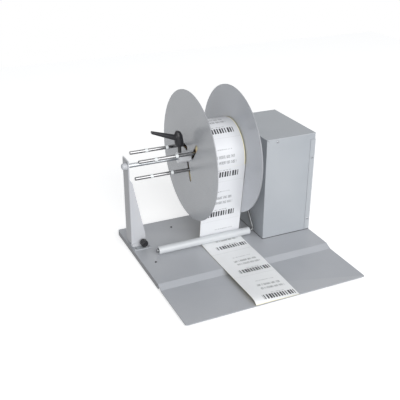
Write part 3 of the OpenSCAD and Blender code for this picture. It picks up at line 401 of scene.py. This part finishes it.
def softened(node, name, slot, body, width, crease=25, material=None):
    """A sheet-metal solid whose long sharp edges are rounded, as bent and coated sheet is."""
    shortest = 2.5 * mm
    bm = bmesh.new()
    bm.from_mesh(nodes[node].data)
    bmesh.ops.remove_doubles(bm, verts=bm.verts, dist=packed_weld)
    bmesh.ops.dissolve_limit(bm, angle_limit=one_plane, verts=bm.verts, edges=bm.edges)
    sharp = [e for e in bm.edges if e.is_manifold and e.calc_length() > shortest
             and e.calc_face_angle() > math.radians(crease)]
    bmesh.ops.bevel(bm, geom=sharp, offset=width, offset_type="OFFSET", segments=3, profile=0.5,
                    affect="EDGES", clamp_overlap=True)
    mesh = to_mesh(bm, name)
    for side in mesh.polygons:
        ends = [mesh.vertices[i].co for i in side.vertices]
        longest = max((a - b).length for a, b in zip(ends, ends[1:] + ends[:1]))
        if side.area > broad_face * longest:
            side.use_smooth = False
    return add_piece(name, mesh, slot, body, [node], material)


def painted_shade_faces(piece, paint, chosen):
    """Gives painted shade, a darker copy of the paint, to the faces whose normal is chosen."""
    piece.data.materials.append(paint)
    for side in piece.data.polygons:
        if chosen(side.normal):
            side.material_index = 1


def fillet(corners, steps=4):
    """A line of (along, radius, rounding) corners as points, each corner rounded by its own radius."""
    points = []
    for i, (along, radius, rounding) in enumerate(corners):
        here = Vector((along, radius))
        if rounding <= 0 or i in (0, len(corners) - 1):
            points.append(here)
            continue
        back = (Vector(corners[i - 1][:2]) - here).normalized()
        ahead = (Vector(corners[i + 1][:2]) - here).normalized()
        half = back.angle(ahead) / 2
        reach = rounding / math.tan(half)
        centre = here + (back + ahead).normalized() * (rounding / math.sin(half))
        first = here + back * reach - centre
        last = here + ahead * reach - centre
        turn = first.angle_signed(last)
        for k in range(steps + 1):
            points.append(centre + Matrix.Rotation(-turn * k / steps, 2) @ first)
    return points


def lathe(bm, points, centre, axis_dir, segments=64, outline=None):
    """Turns (along, radius) points about an axis. outline(angle, radius) may shape each ring."""
    turn = axis_dir.to_track_quat("Z", "Y").to_matrix()
    rings = []
    for along, radius in points:
        ring = []
        count = segments if radius > weld else 1
        for k in range(count):
            angle = 2 * math.pi * k / segments
            reach = outline(angle, radius) if outline else radius
            place = turn @ Vector((reach * math.cos(angle), reach * math.sin(angle), along))
            ring.append(bm.verts.new(centre + place))
        rings.append(ring)
    for low, high in zip(rings, rings[1:]):
        for k in range(segments):
            corners = [low[k % len(low)], low[(k + 1) % len(low)]]
            corners += [high[(k + 1) % len(high)], high[k % len(high)]]
            corners = list(dict.fromkeys(corners))
            if len(corners) > 2:
                bm.faces.new(corners)


def turned(name, corners, centre, axis_dir, slot, body, stands_for=(), material=None, outline=None):
    """One turned piece from a line of (along, radius, rounding) corners."""
    bm = bmesh.new()
    lathe(bm, fillet(corners), centre, axis_dir, outline=outline)
    return add_piece(name, to_mesh(bm, name), slot, body, stands_for, material)


def islands(node):
    """Lowest and highest corner of each separate solid in a node."""
    bm = bmesh.new()
    bm.from_mesh(nodes[node].data)
    bmesh.ops.remove_doubles(bm, verts=bm.verts, dist=packed_weld)
    waiting = set(bm.verts)
    boxes = []
    while waiting:
        reached = [waiting.pop()]
        low = reached[0].co.copy()
        high = low.copy()
        while reached:
            vert = reached.pop()
            low = Vector(map(min, low, vert.co))
            high = Vector(map(max, high, vert.co))
            for edge in vert.link_edges:
                other = edge.other_vert(vert)
                if other in waiting:
                    waiting.remove(other)
                    reached.append(other)
        boxes.append((low, high))
    bm.free()
    return sorted(boxes, key=lambda box: tuple(box[0]))


def hexagon(angle, radius):
    """Radius of a hexagon whose corners lie at radius."""
    side = (angle % (math.pi / 3)) - math.pi / 6
    return radius * math.cos(math.pi / 6) / math.cos(side)


# Shares of a screw head's radius: its height, the shank and the socket
head_height = 0.6
shank_share = 0.45
socket_share = 0.50
screw_segments = 36


def screw_heads(node, name, body, head_side, material=None):
    """Button heads with a hexagon socket, one for each screw of a node. head_side says where each faces."""
    bm = bmesh.new()
    for low, high in islands(node):
        facing_out = head_side(low, high)
        size = high - low
        long_way = max(range(3), key=lambda i: abs(facing_out[i]))
        head = max(size[i] for i in range(3) if i != long_way) / 2
        tip = (low + high) / 2
        tip[long_way] = low[long_way] if facing_out[long_way] > 0 else high[long_way]
        length = size[long_way]
        seat = length - head_height * head
        shank = shank_share * head
        mouth = socket_share * head
        dome = [(0, 0, 0), (0, shank, 0), (seat, shank, 0), (seat, head, 0.05 * head),
                (seat + 0.28 * head, 0.97 * head, 0.10 * head), (length, 0.62 * head, 0.12 * head),
                (length, mouth, 0)]
        lathe(bm, fillet(dome), tip, facing_out, screw_segments)
        socket = [(length, mouth), (length - 0.4 * head, 0.46 * head), (length - 0.5 * head, 0)]
        lathe(bm, socket, tip, facing_out, screw_segments, hexagon)
    return add_piece(name, to_mesh(bm, name), "zinc", body, [node], material)


def skin(bm, low, high):
    """Faces between two closed rings of equal length."""
    count = len(low)
    for k in range(count):
        bm.faces.new([low[k], low[(k + 1) % count], high[(k + 1) % count], high[k]])


def tube(bm, path, radius, segments=24):
    """A round bar along a path, with domed ends."""
    rings = []
    count = len(path)
    side = Z_AXIS
    for i, place in enumerate(path):
        ahead = (path[min(i + 1, count - 1)] - path[max(i - 1, 0)]).normalized()
        side = (side - ahead * side.dot(ahead)).normalized()
        other = ahead.cross(side)
        rings.append([bm.verts.new(place + radius * (math.cos(a) * side + math.sin(a) * other))
                      for a in (2 * math.pi * k / segments for k in range(segments))])
    for low, high in zip(rings, rings[1:]):
        skin(bm, low, high)
    ends = ((rings[0], path[0], path[0] - path[1]), (rings[-1], path[-1], path[-1] - path[-2]))
    for ring, place, out in ends:
        step = out.normalized() * 0.15 * radius
        inner = [bm.verts.new(v.co + step + 0.2 * (place - v.co)) for v in ring]
        skin(bm, ring, inner)
        bm.faces.new(inner)


def bent(corners, radius, steps=8):
    """A path of straight runs through corners, with each corner bent to a radius."""
    path = [corners[0]]
    for before, here, after in zip(corners, corners[1:], corners[2:]):
        back = (before - here).normalized()
        ahead = (after - here).normalized()
        half = back.angle(ahead) / 2
        centre = here + (back + ahead).normalized() * (radius / math.sin(half))
        first = (here + back * (radius / math.tan(half)) - centre).normalized()
        last = (here + ahead * (radius / math.tan(half)) - centre).normalized()
        for k in range(steps + 1):
            path.append(centre + radius * first.slerp(last, k / steps))
    path.append(corners[-1])
    return path


# Bent sheet metal. Faces picked by how far they face along the spindle take painted shade, a darker copy of their
# paint
end_on = 0.9
base_sheet = softened("base_plate", "base_sheet", "sheet_paint", "base", 0.6 * mm, crease=18)
# Painted shade on the base's end faces and skirts
painted_shade_faces(base_sheet, shaded_coat, lambda normal: abs(normal.x) > end_on)
softened("housing", "housing_shell", "housing_paint", "base", 0.9 * mm)
softened("side_cover", "cover_shell", "housing_paint", "base", 0.7 * mm)
post_sheet = softened("support_post", "post_sheet", "housing_paint", "post", 0.9 * mm, material=post_painted_light)
painted_shade_faces(post_sheet, post_side_painted_shade, lambda normal: normal.x < -end_on)
softened("post_bracket", "bracket_sheet", "housing_paint", "base", 0.5 * mm)
for node, name, body, paint in (("outer_flange", "outer_disc", "outer_flange_set", disc_paint),
                                ("inner_flange", "inner_disc", "spindle", inner_disc_painted_light)):
    disc = softened(node, name, "sheet_paint", body, 0.35 * mm, material=paint)
    painted_shade_faces(disc, painted_rim_shade, lambda normal: abs(normal.x) < end_on)

# Dark lines on the housing: a painted shadow along its foot, where it sits on the base, and a dark seam across a
# folded corner
housing_low, housing_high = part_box("housing")
tray_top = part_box("post_bracket")[0].z
shadow_gap_high = 1.5 * mm
joint_proud = 0.12 * mm
joint_inset = 1 * mm
fold_long = 6 * mm
fold_deep = 0.5 * mm
fold_half = 0.25 * mm
fold_slant = math.radians(45)


def strip(bm, low, high):
    """A box between two corners."""
    xs, ys, zs = zip(low, high)
    corners = [bm.verts.new((x, y, z)) for x in xs for y in ys for z in zs]
    for a, b, c, d in ((0, 1, 3, 2), (4, 6, 7, 5), (0, 4, 5, 1), (2, 3, 7, 6), (0, 2, 6, 4), (1, 5, 7, 3)):
        bm.faces.new([corners[a], corners[b], corners[c], corners[d]])
    return corners


# The dark strip along the housing's foot is a painted shadow
bm = bmesh.new()
strip(bm, Vector((housing_low.x - joint_proud, housing_low.y - joint_proud, tray_top)),
      Vector((housing_high.x - joint_inset, housing_high.y - joint_inset, tray_top + shadow_gap_high)))
fold = strip(bm, Vector((0, 0, -fold_half)), Vector((fold_long, fold_deep, fold_half)))
fold_top = housing_high.z - joint_inset
fold_place = Vector((housing_low.x + joint_inset, housing_low.y - joint_proud, fold_top))
turn = Matrix.Translation(fold_place) @ Matrix.Rotation(fold_slant, 4, "Y")
for vert in fold:
    vert.co = turn @ vert.co
add_piece("housing_shadow_gap_and_seam", to_mesh(bm, "housing_shadow_gap_and_seam"), "housing_paint", "base", material=black_oxide)

# Screws
screw_heads("foot_screws", "foot_screw_heads", "base", lambda low, high: Z_AXIS, black_oxide)
screw_heads("post_bracket_screws", "bracket_screw_heads", "base", lambda low, high: Z_AXIS)
middle_y = (housing_low.y + housing_high.y) / 2
for screws in ("cover_screws", "housing_screws"):
    screw_heads(screws, screws + "_heads", "base",
                lambda low, high: -Y_AXIS if low.y < middle_y else Y_AXIS)

# Paper: a wound roll, the drop to the roller, and the run over the base
roller_axis = Vector(joints["guide_roller_spin"]["pos_m"])
roll_low, roll_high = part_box("label_roll")
roll_radius = (roll_high.z - roll_low.z) / 2
core_radius = (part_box("paper_core")[1].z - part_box("paper_core")[0].z) / 2
roller_radius = (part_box("guide_roller")[1].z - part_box("guide_roller")[0].z) / 2
web_middle = (roll_low.x + roll_high.x) / 2
web_left = web_middle - web_width / 2
web_right = web_middle + web_width / 2
web_thick = 0.3 * mm
wrap_radius = roller_radius + 0.5 * mm
# The run from the roller to the base's front edge, in millimetres: place, height of the left and right edge
run_heights = (
    (-18, 15.3, 15.3),
    (-50, 15.3, 15.0),
    (-81, 15.2, 14.6),
    (-104, 15.3, 13.4),
    (-138, 15.7, 12.3),
    (-172, 16.1, 11.0),
    (-203, 16.4, 9.6),
    (-219, 15.9, 8.6),
    (-229, 13.6, 7.9),
    (-235.3, 8.2, 7.3),
)
# Steps of the drop and of the wrap round the roller, and the angle at which the paper leaves the roller
drop_steps = 40
wrap_steps = 16
wrap_end = math.radians(-91)
map_margin = 0.01


def drop_ends():
    """Where the paper leaves the roll and where it meets the back of the roller, as (y, z)."""
    start = Vector((axis.y, axis.z))
    way = Vector((roller_axis.y, roller_axis.z)) - start
    lean = (roll_radius + wrap_radius) / way.length
    normal = way.normalized() * lean + Vector((way.y, -way.x)).normalized() * math.sqrt(1 - lean * lean)
    return start + roll_radius * normal, start + way - wrap_radius * normal


leave, meet = drop_ends()


def smooth_run(points, steps):
    """A smooth curve through points."""
    ends = [2 * points[0] - points[1], *points, 2 * points[-1] - points[-2]]
    curve = []
    for a, b, c, d in zip(ends, ends[1:], ends[2:], ends[3:]):
        for k in range(steps):
            t = k / steps
            curve.append(0.5 * (2 * b + (c - a) * t + (2 * a - 5 * b + 4 * c - d) * t * t
                                + (3 * b - a - 3 * c + d) * t * t * t))
    return [*curve, points[-1]]


def drop_path():
    """The drop from the roll and the wrap under the roller."""
    path = [leave.lerp(meet, k / drop_steps) for k in range(drop_steps + 1)]
    centre = Vector((roller_axis.y, roller_axis.z))
    first = math.atan2((meet - centre).y, (meet - centre).x)
    for k in range(1, wrap_steps + 1):
        angle = first + (wrap_end - first) * k / wrap_steps
        path.append(centre + wrap_radius * Vector((math.cos(angle), math.sin(angle))))
    return path


def lengths(path):
    """Distance along a path at each of its points."""
    total = [0.0]
    for a, b in zip(path, path[1:]):
        total.append(total[-1] + (b - a).length)
    return total


def sideways(mark):
    """How far the print moves to the left on the roll and the drop."""
    return print_shift + print_skew * mark if mark < shift_end else 0.0


def web_piece(name, path, marks, tilts=None, drift=0.0, columns=12, material=None):
    """A strip of label stock along a path of (y, z) points. marks give the print's place at each point,
    tilts lift one edge and lower the other, and drift moves the far end to the right."""
    bm = bmesh.new()
    sheet_map = bm.loops.layers.uv.new("sheet")
    print_map = bm.loops.layers.uv.new("print")
    tops, backs = [], []
    for i, place in enumerate(path):
        ahead = (path[min(i + 1, len(path) - 1)] - path[max(i - 1, 0)]).normalized()
        out = Vector((ahead.y, -ahead.x)) * web_thick / 2
        if out.x > 0 and abs(out.x) > abs(out.y):
            out = -out
        if out.y < 0 and abs(out.y) >= abs(out.x):
            out = -out
        left = web_left + drift * i / (len(path) - 1)
        xs = [left + web_width * k / columns for k in range(columns + 1)]
        tilt = tilts[i] if tilts else 0.0
        lifts = [tilt * (1 - 2 * k / columns) for k in range(columns + 1)]
        tops.append([bm.verts.new((x, place.x + out.x, place.y + out.y + up)) for x, up in zip(xs, lifts)])
        backs.append([bm.verts.new((x, place.x - out.x, place.y - out.y + up)) for x, up in zip(xs, lifts)])
    for i in range(len(path) - 1):
        for k in range(columns):
            face = bm.faces.new([tops[i][k], tops[i][k + 1], tops[i + 1][k + 1], tops[i + 1][k]])
            move = sideways((marks[i] + marks[i + 1]) / 2)
            for loop, (col, row) in zip(face.loops, ((k, i), (k + 1, i), (k + 1, i + 1), (k, i + 1))):
                share = map_margin + (1 - 2 * map_margin) * col / columns
                inset = liner_edge + (web_width - 2 * liner_edge) * share
                loop[sheet_map].uv = (inset, marks[row])
                loop[print_map].uv = (web_width * col / columns + move, marks[row])
            under = bm.faces.new([backs[i][k], backs[i + 1][k], backs[i + 1][k + 1], backs[i][k + 1]])
            under.material_index = 1
        for k in (0, columns):
            side = bm.faces.new([tops[i][k], tops[i + 1][k], backs[i + 1][k], backs[i][k]])
            side.material_index = 1
    for i in (0, len(path) - 1):
        for k in range(columns):
            end = bm.faces.new([tops[i][k], backs[i][k], backs[i][k + 1], tops[i][k + 1]])
            end.material_index = 1
    mesh = to_mesh(bm, name, 60)
    obj = add_piece(name, mesh, "paper", material=material)
    mesh.materials.append(liner_back)
    return obj


# Print marks: distances along the paper from the topmost bar code that shows on the roll
drop_from_code = 86 * mm
run_from_code = 276 * mm
run_drift = 3.2 * mm
print_shift = 10.5 * mm
print_skew = 0.02
shift_end = 225 * mm
# A longer gap between two labels on the run: where it starts and ends, and its extra length
slack_from = 42 * mm
slack_to = 62 * mm
slack = 6 * mm
path = drop_path()
web_drop = web_piece("web_drop", path, [drop_from_code + s for s in lengths(path)])
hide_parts("label_web")
run = [path[-1].to_3d()]
for y, left, right in run_heights:
    run.append(Vector((y, (left + right) / 2, (left - right) / 2)) * mm)
run = smooth_run(run, 6)
run_tilts = [place.z for place in run]
run = [place.to_2d() for place in run]
run_marks = []
for s in lengths(run):
    share = min(1.0, max(0.0, (s - slack_from) / (slack_to - slack_from)))
    run_marks.append(run_from_code + s - slack * share)
web_run = web_piece("web_run", run, run_marks, run_tilts, run_drift, material=run_paper_painted_light)
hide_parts("label_web")
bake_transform(web_drop)
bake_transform(web_run)


def wound_roll():
    """A roll with slightly uneven layers at its sides and the printed label stock on its outside."""
    bm = bmesh.new()
    sheet_map = bm.loops.layers.uv.new("sheet")
    print_map = bm.loops.layers.uv.new("print")
    uneven = random.Random(4)
    uneven_by = 0.25
    segments = 180
    layers = 48
    radii = [core_radius + (roll_radius - core_radius) * k / layers for k in range(layers + 1)]
    sides = [[web_left + uneven.uniform(0.0, uneven_by) * mm for _ in radii],
             [web_right - uneven.uniform(0.0, uneven_by) * mm for _ in radii]]
    leave_angle = math.atan2(leave.y - axis.z, leave.x - axis.y)
    angles = [leave_angle + 2 * math.pi * (k / segments - 1) for k in range(segments + 1)]

    def ring(x, radius):
        centre = Vector((x, axis.y, axis.z))
        return [bm.verts.new(centre + radius * Vector((0, math.cos(a), math.sin(a)))) for a in angles]

    rings = [[ring(x, r) for x, r in zip(xs, radii)] for xs in sides]
    for stack in rings:
        for low, high in zip(stack, stack[1:]):
            for k in range(segments):
                bm.faces.new([low[k], low[k + 1], high[k + 1], high[k]]).material_index = 1
    left, right = rings[0][-1], rings[1][-1]
    for k in range(segments):
        face = bm.faces.new([left[k], right[k], right[k + 1], left[k + 1]])
        for loop, (col, row) in zip(face.loops, ((0, k), (1, k), (1, k + 1), (0, k + 1))):
            along = drop_from_code + roll_radius * (angles[row] - leave_angle)
            loop[sheet_map].uv = (web_width * col, along)
            loop[print_map].uv = (web_width * col + sideways(along), along)
    left, right = rings[0][0], rings[1][0]
    for k in range(segments):
        bm.faces.new([left[k], left[k + 1], right[k + 1], right[k]]).material_index = 1
    mesh = to_mesh(bm, "wound_roll", 30)
    obj = add_piece("wound_roll", mesh, "paper", "spindle", ["label_roll"])
    mesh.materials.append(roll_side)
    return obj


wound_roll()

# Pale grip rings on the core rods
ring_places = (-148.7 * mm, -99.8 * mm)
ring_width = 6.5 * mm
ring_proud = 0.45 * mm
ring_round = 0.3 * mm
for number in (1, 2, 3):
    low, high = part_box(f"core_rod_{number}")
    middle = (low + high) / 2
    radius = (high.z - low.z) / 2
    bm = bmesh.new()
    for place in ring_places:
        band = [(-ring_width / 2, radius, 0), (-ring_width / 2, radius + ring_proud, ring_round),
                (ring_width / 2, radius + ring_proud, ring_round), (ring_width / 2, radius, 0)]
        lathe(bm, fillet(band), Vector((place, middle.y, middle.z)), X_AXIS, 40)
    name = f"rod_rings_{number}"
    add_piece(name, to_mesh(bm, name), "bright_steel", f"rod_{number}", material=grip_ring)


# Clamp lever: a boss and a tapering arm moulded in one
def moulded(bm, name, voxel, passes):
    """Joins overlapping closed forms into one smooth moulding."""
    rough = bpy.data.objects.new(name + "_rough", to_mesh(bm, name + "_rough"))
    scene.collection.objects.link(rough)
    melt = rough.modifiers.new("melt", "REMESH")
    melt.mode = "VOXEL"
    melt.voxel_size = voxel
    ease = rough.modifiers.new("ease", "SMOOTH")
    ease.iterations = passes
    mesh = bpy.data.meshes.new_from_object(rough.evaluated_get(bpy.context.evaluated_depsgraph_get()))
    bpy.data.objects.remove(rough)
    mesh.name = name
    mesh.shade_smooth()
    return mesh


lever_low, lever_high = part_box("clamp_lever")
stud_place = Vector(joints["clamp_lever_turn"]["pos_m"])
boss_radius = (lever_high.y - lever_low.y) / 2
boss_top = 277 * mm
boss_lean = 0.12
boss_lift = 5 * mm
arm_root = Vector((stud_place.x, stud_place.y, 260 * mm))
arm_tip = Vector((lever_low.x + 3 * mm, stud_place.y, 283.6 * mm))
# Sections of the arm: share of its length, half width and half height in millimetres
arm_sections = ((0.0, 8.2, 7.2), (0.97, 4.9, 3.5), (1.0, 4.4, 3.2))
arm_segments = 32
arm_squareness = 2.6


def lever_form():
    """A leaning boss and an arm of nearly square section, joined to one form."""
    bm = bmesh.new()
    foot = lever_low.z + boss_lift
    boss = [(0, 0, 0), (0, 0.85 * boss_radius, 0.8 * mm), (3 * mm, 0.97 * boss_radius, 2 * mm),
            (10 * mm, boss_radius, 6 * mm), (boss_top - foot - 9 * mm, 0.93 * boss_radius, 5 * mm),
            (boss_top - foot, 0.58 * boss_radius, 3 * mm), (boss_top - foot, 0, 0)]
    lathe(bm, fillet(boss, 5), Vector((stud_place.x, stud_place.y, foot)), Z_AXIS, 48)
    for vert in bm.verts:
        vert.co.x -= boss_lean * (vert.co.z - foot)
    rings = []
    for share, half_width, half_height in arm_sections:
        centre = arm_root.lerp(arm_tip, share)
        ring = []
        for k in range(arm_segments):
            angle = 2 * math.pi * k / arm_segments
            wide, tall = math.cos(angle), math.sin(angle)
            square = (abs(wide) ** arm_squareness + abs(tall) ** arm_squareness) ** (-1 / arm_squareness)
            offset = Vector((0, half_width * wide * square, half_height * tall * square)) * mm
            ring.append(bm.verts.new(centre + offset))
        rings.append(ring)
    for low, high in zip(rings, rings[1:]):
        skin(bm, low, high)
    bm.faces.new(rings[0])
    bm.faces.new(rings[-1])
    return moulded(bm, "lever_moulding", 0.55 * mm, 6)


add_piece("lever_moulding", lever_form(), "black_plastic", "lever", ["clamp_lever"])
button_radius = 4.6 * mm
button = [(-1.0 * mm, 0, 0), (-1.0 * mm, button_radius, 0), (0.9 * mm, button_radius, 0.7 * mm),
          (1.3 * mm, 0, 0)]
button_place = Vector((stud_place.x - boss_lean * (boss_top - lever_low.z), stud_place.y, boss_top))
turned("lever_button", button, button_place, Z_AXIS, "black_plastic", "lever")

# Lock knob with moulded flutes
knob_low, knob_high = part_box("lock_knob")
knob_radius = (knob_high.z - knob_low.z) / 2
knob_deep = knob_high.y - knob_low.y
knob_flutes = 10
flute_deep = 0.075


def fluted(angle, radius):
    """Radius of the knob at an angle, scooped out at each flute."""
    scoop = 0.5 + 0.5 * math.cos(knob_flutes * angle)
    return radius * (1 - flute_deep * scoop ** 3 * min(1.0, radius / knob_radius))


knob_form = [(0, 0, 0), (0, 0.52 * knob_radius, 0.4 * mm), (0.22 * knob_deep, 0.56 * knob_radius, 0.8 * mm),
             (0.30 * knob_deep, knob_radius, 1.0 * mm), (0.86 * knob_deep, knob_radius, 1.8 * mm),
             (knob_deep, 0.80 * knob_radius, 1.2 * mm), (knob_deep, 0.46 * knob_radius, 0.3 * mm),
             (0.95 * knob_deep, 0.42 * knob_radius, 0.3 * mm), (0.95 * knob_deep, 0, 0)]
knob_back = Vector(((knob_low.x + knob_high.x) / 2, knob_high.y, (knob_low.z + knob_high.z) / 2))
turned("knob_moulding", knob_form, knob_back, -Y_AXIS, "black_plastic", "knob", ["lock_knob"],
       outline=fluted)

# Bearing cap at the far end of the spindle
cap_low, cap_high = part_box("end_bearing_cap")
cap_radius = (cap_high.z - cap_low.z) / 2
cap_long = cap_high.x - cap_low.x
cap_reach = 11 * mm
cap_wall = 5 * mm
bush_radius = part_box("end_bush")[1].z - axis.z
spigot_radius = bush_radius + 1.2 * mm
bore_radius = bush_radius + 0.05 * mm
cap_form = [(0, 0, 0), (0, 0.62 * cap_radius, 1.6 * mm), (2.2 * mm, 0.82 * cap_radius, 2.4 * mm),
            (7 * mm, 0.86 * cap_radius, 1.0 * mm), (8.4 * mm, cap_radius, 0.6 * mm),
            (cap_reach, cap_radius, 0.2 * mm), (cap_reach, spigot_radius, 0),
            (cap_long, spigot_radius, 0), (cap_long, bore_radius, 0), (cap_wall, bore_radius, 0),
            (cap_wall, 0, 0)]
turned("cap_form", cap_form, Vector((cap_low.x, axis.y, axis.z)), X_AXIS, "turned_alu", "post",
       ["end_bearing_cap"], post_painted_light)

# Guide roller: a white tube with end plugs, on a bent bar
roller_low, roller_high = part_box("guide_roller")
bare_end = 4 * mm
roller_long = roller_high.x - roller_low.x - bare_end
bar_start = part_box("dancer_bar")[0].x
bar_radius = 3 * mm
bar_bend = 4.2 * mm
plug_radius = 5.6 * mm
plug_deep = 1.2 * mm
plug_end = plug_deep + 8 * mm
plug_bore = bar_radius + 0.15 * mm
mouth_radius = plug_radius + 0.2 * mm
roller_end = Vector((roller_low.x, roller_axis.y, roller_axis.z))
roller_form = [(plug_deep, plug_radius, 0), (0, mouth_radius, 0.2 * mm), (0, roller_radius, 0.9 * mm),
               (roller_long, roller_radius, 0.9 * mm), (roller_long, mouth_radius, 0.2 * mm),
               (roller_long - plug_deep, plug_radius, 0)]
turned("roller_tube", roller_form, roller_end, X_AXIS, "roller_white", "roller", ["guide_roller"])
plug_form = [(plug_end, plug_bore, 0), (plug_deep, plug_bore, 0.1 * mm), (plug_deep, plug_radius, 0.1 * mm),
             (plug_end, plug_radius, 0), (plug_end, plug_bore, 0)]
bm = bmesh.new()
lathe(bm, fillet(plug_form), roller_end, X_AXIS, 48)
lathe(bm, fillet(plug_form), roller_end + X_AXIS * roller_long, -X_AXIS, 48)
add_piece("roller_plugs", to_mesh(bm, "roller_plugs"), "black_plastic", "roller")

dancer_pivot = Vector(joints["dancer_swing"]["pos_m"])
arm_elbow = Vector((dancer_pivot.x, 24.5 * mm, roller_axis.z + 10.5 * mm))
axle = [Vector((x, roller_axis.y, roller_axis.z)) for x in (bar_start, dancer_pivot.x)]
bar_path = bent([*axle, arm_elbow, dancer_pivot], bar_bend)
bm = bmesh.new()
tube(bm, bar_path, bar_radius)
add_piece("dancer_rod", to_mesh(bm, "dancer_rod"), "bright_steel", "dancer", ["dancer_bar"], rod_steel)
clip_thick = 0.8 * mm
clip_bore = bar_radius - 0.3 * mm
clip_radius = bar_radius + 1.5 * mm
clip_form = [(0, clip_bore, 0), (0, clip_radius, 0.15 * mm), (clip_thick, clip_radius, 0.15 * mm),
             (clip_thick, clip_bore, 0)]
turned("bar_clip", clip_form, roller_end - X_AXIS * 2.4 * mm, X_AXIS, "zinc", "dancer")

# Floor and light
floor_albedo = 0.80
floor_glow = 0.55
floor_half = 1.9
world_fill = 0.37
room_tint = (0.96, 0.98, 1, 1)
light_aim = Vector((0, 0, 0.15))
# Soft lights: name, place, width and height, watts
lights = (
    ("front_light", Vector((0.25, -5.40, 2.95)), (5.8, 4.2), 338),
    ("left_light", Vector((-2.2, -2.95, 1.65)), (2.0, 2.0), 14),
)


def floor_material():
    """Pale floor: near white to the eye and in reflections, and still darker where the object shades it."""
    g = Graph("pale_floor")
    grain = g.noise(6.0, 2.0)
    g.tree.nodes.remove(g.shader)
    pale = g.node("ShaderNodeBsdfDiffuse")
    g.feed(pale.inputs["Color"], g.mix(grain, [0.98 * floor_albedo] * 3, [floor_albedo] * 3))
    glow = g.node("ShaderNodeEmission")
    glow.inputs["Strength"].default_value = floor_glow
    lit = g.node("ShaderNodeAddShader")
    seen = g.node("ShaderNodeLightPath").outputs
    share = g.node("ShaderNodeMixShader")
    direct = g.math("MAXIMUM", seen["Is Camera Ray"], seen["Is Glossy Ray"])
    g.feed(share.inputs[0], g.math("MAXIMUM", direct, seen["Is Transmission Ray"]))
    g.tree.links.new(pale.outputs[0], lit.inputs[0])
    g.tree.links.new(glow.outputs[0], lit.inputs[1])
    g.tree.links.new(pale.outputs[0], share.inputs[1])
    g.tree.links.new(lit.outputs[0], share.inputs[2])
    out = next(n for n in g.tree.nodes if n.type == "OUTPUT_MATERIAL")
    g.tree.links.new(share.outputs[0], out.inputs["Surface"])
    return g.material


bm = bmesh.new()
bmesh.ops.create_grid(bm, x_segments=8, y_segments=8, size=floor_half)
floor_mesh = bpy.data.meshes.new("floor")
bm.to_mesh(floor_mesh)
bm.free()
floor_mesh.materials.append(floor_material())
floor = bpy.data.objects.new("floor", floor_mesh)
scene.collection.objects.link(floor)

world = bpy.data.worlds.new("studio")
world.use_nodes = True
scene.world = world
tree = world.node_tree
backdrop = next(n for n in tree.nodes if n.type == "BACKGROUND")
room = tree.nodes.new("ShaderNodeBackground")
backdrop.inputs["Color"].default_value = (1, 1, 1, 1)
backdrop.inputs["Strength"].default_value = 1.0
room.inputs["Color"].default_value = room_tint
room.inputs["Strength"].default_value = world_fill
seen = tree.nodes.new("ShaderNodeLightPath").outputs
share = tree.nodes.new("ShaderNodeMixShader")
direct = seen["Is Camera Ray"]
for other in ("Is Glossy Ray", "Is Transmission Ray"):
    either = tree.nodes.new("ShaderNodeMath")
    either.operation = "MAXIMUM"
    tree.links.new(direct, either.inputs[0])
    tree.links.new(seen[other], either.inputs[1])
    direct = either.outputs[0]
tree.links.new(direct, share.inputs[0])
tree.links.new(room.outputs[0], share.inputs[1])
tree.links.new(backdrop.outputs[0], share.inputs[2])
surface_out = next(n for n in tree.nodes if n.type == "OUTPUT_WORLD").inputs["Surface"]
tree.links.new(share.outputs[0], surface_out)


def softbox(name, place, size, power):
    """A rectangular light that faces the object."""
    lamp = bpy.data.lights.new(name, "AREA")
    lamp.shape = "RECTANGLE"
    lamp.size, lamp.size_y = size
    lamp.energy = power
    obj = bpy.data.objects.new(name, lamp)
    obj.location = place
    obj.rotation_mode = "QUATERNION"
    obj.rotation_quaternion = (light_aim - place).to_track_quat("-Z", "Y")
    scene.collection.objects.link(obj)


for light in lights:
    softbox(*light)

scene.view_settings.view_transform = "Standard"
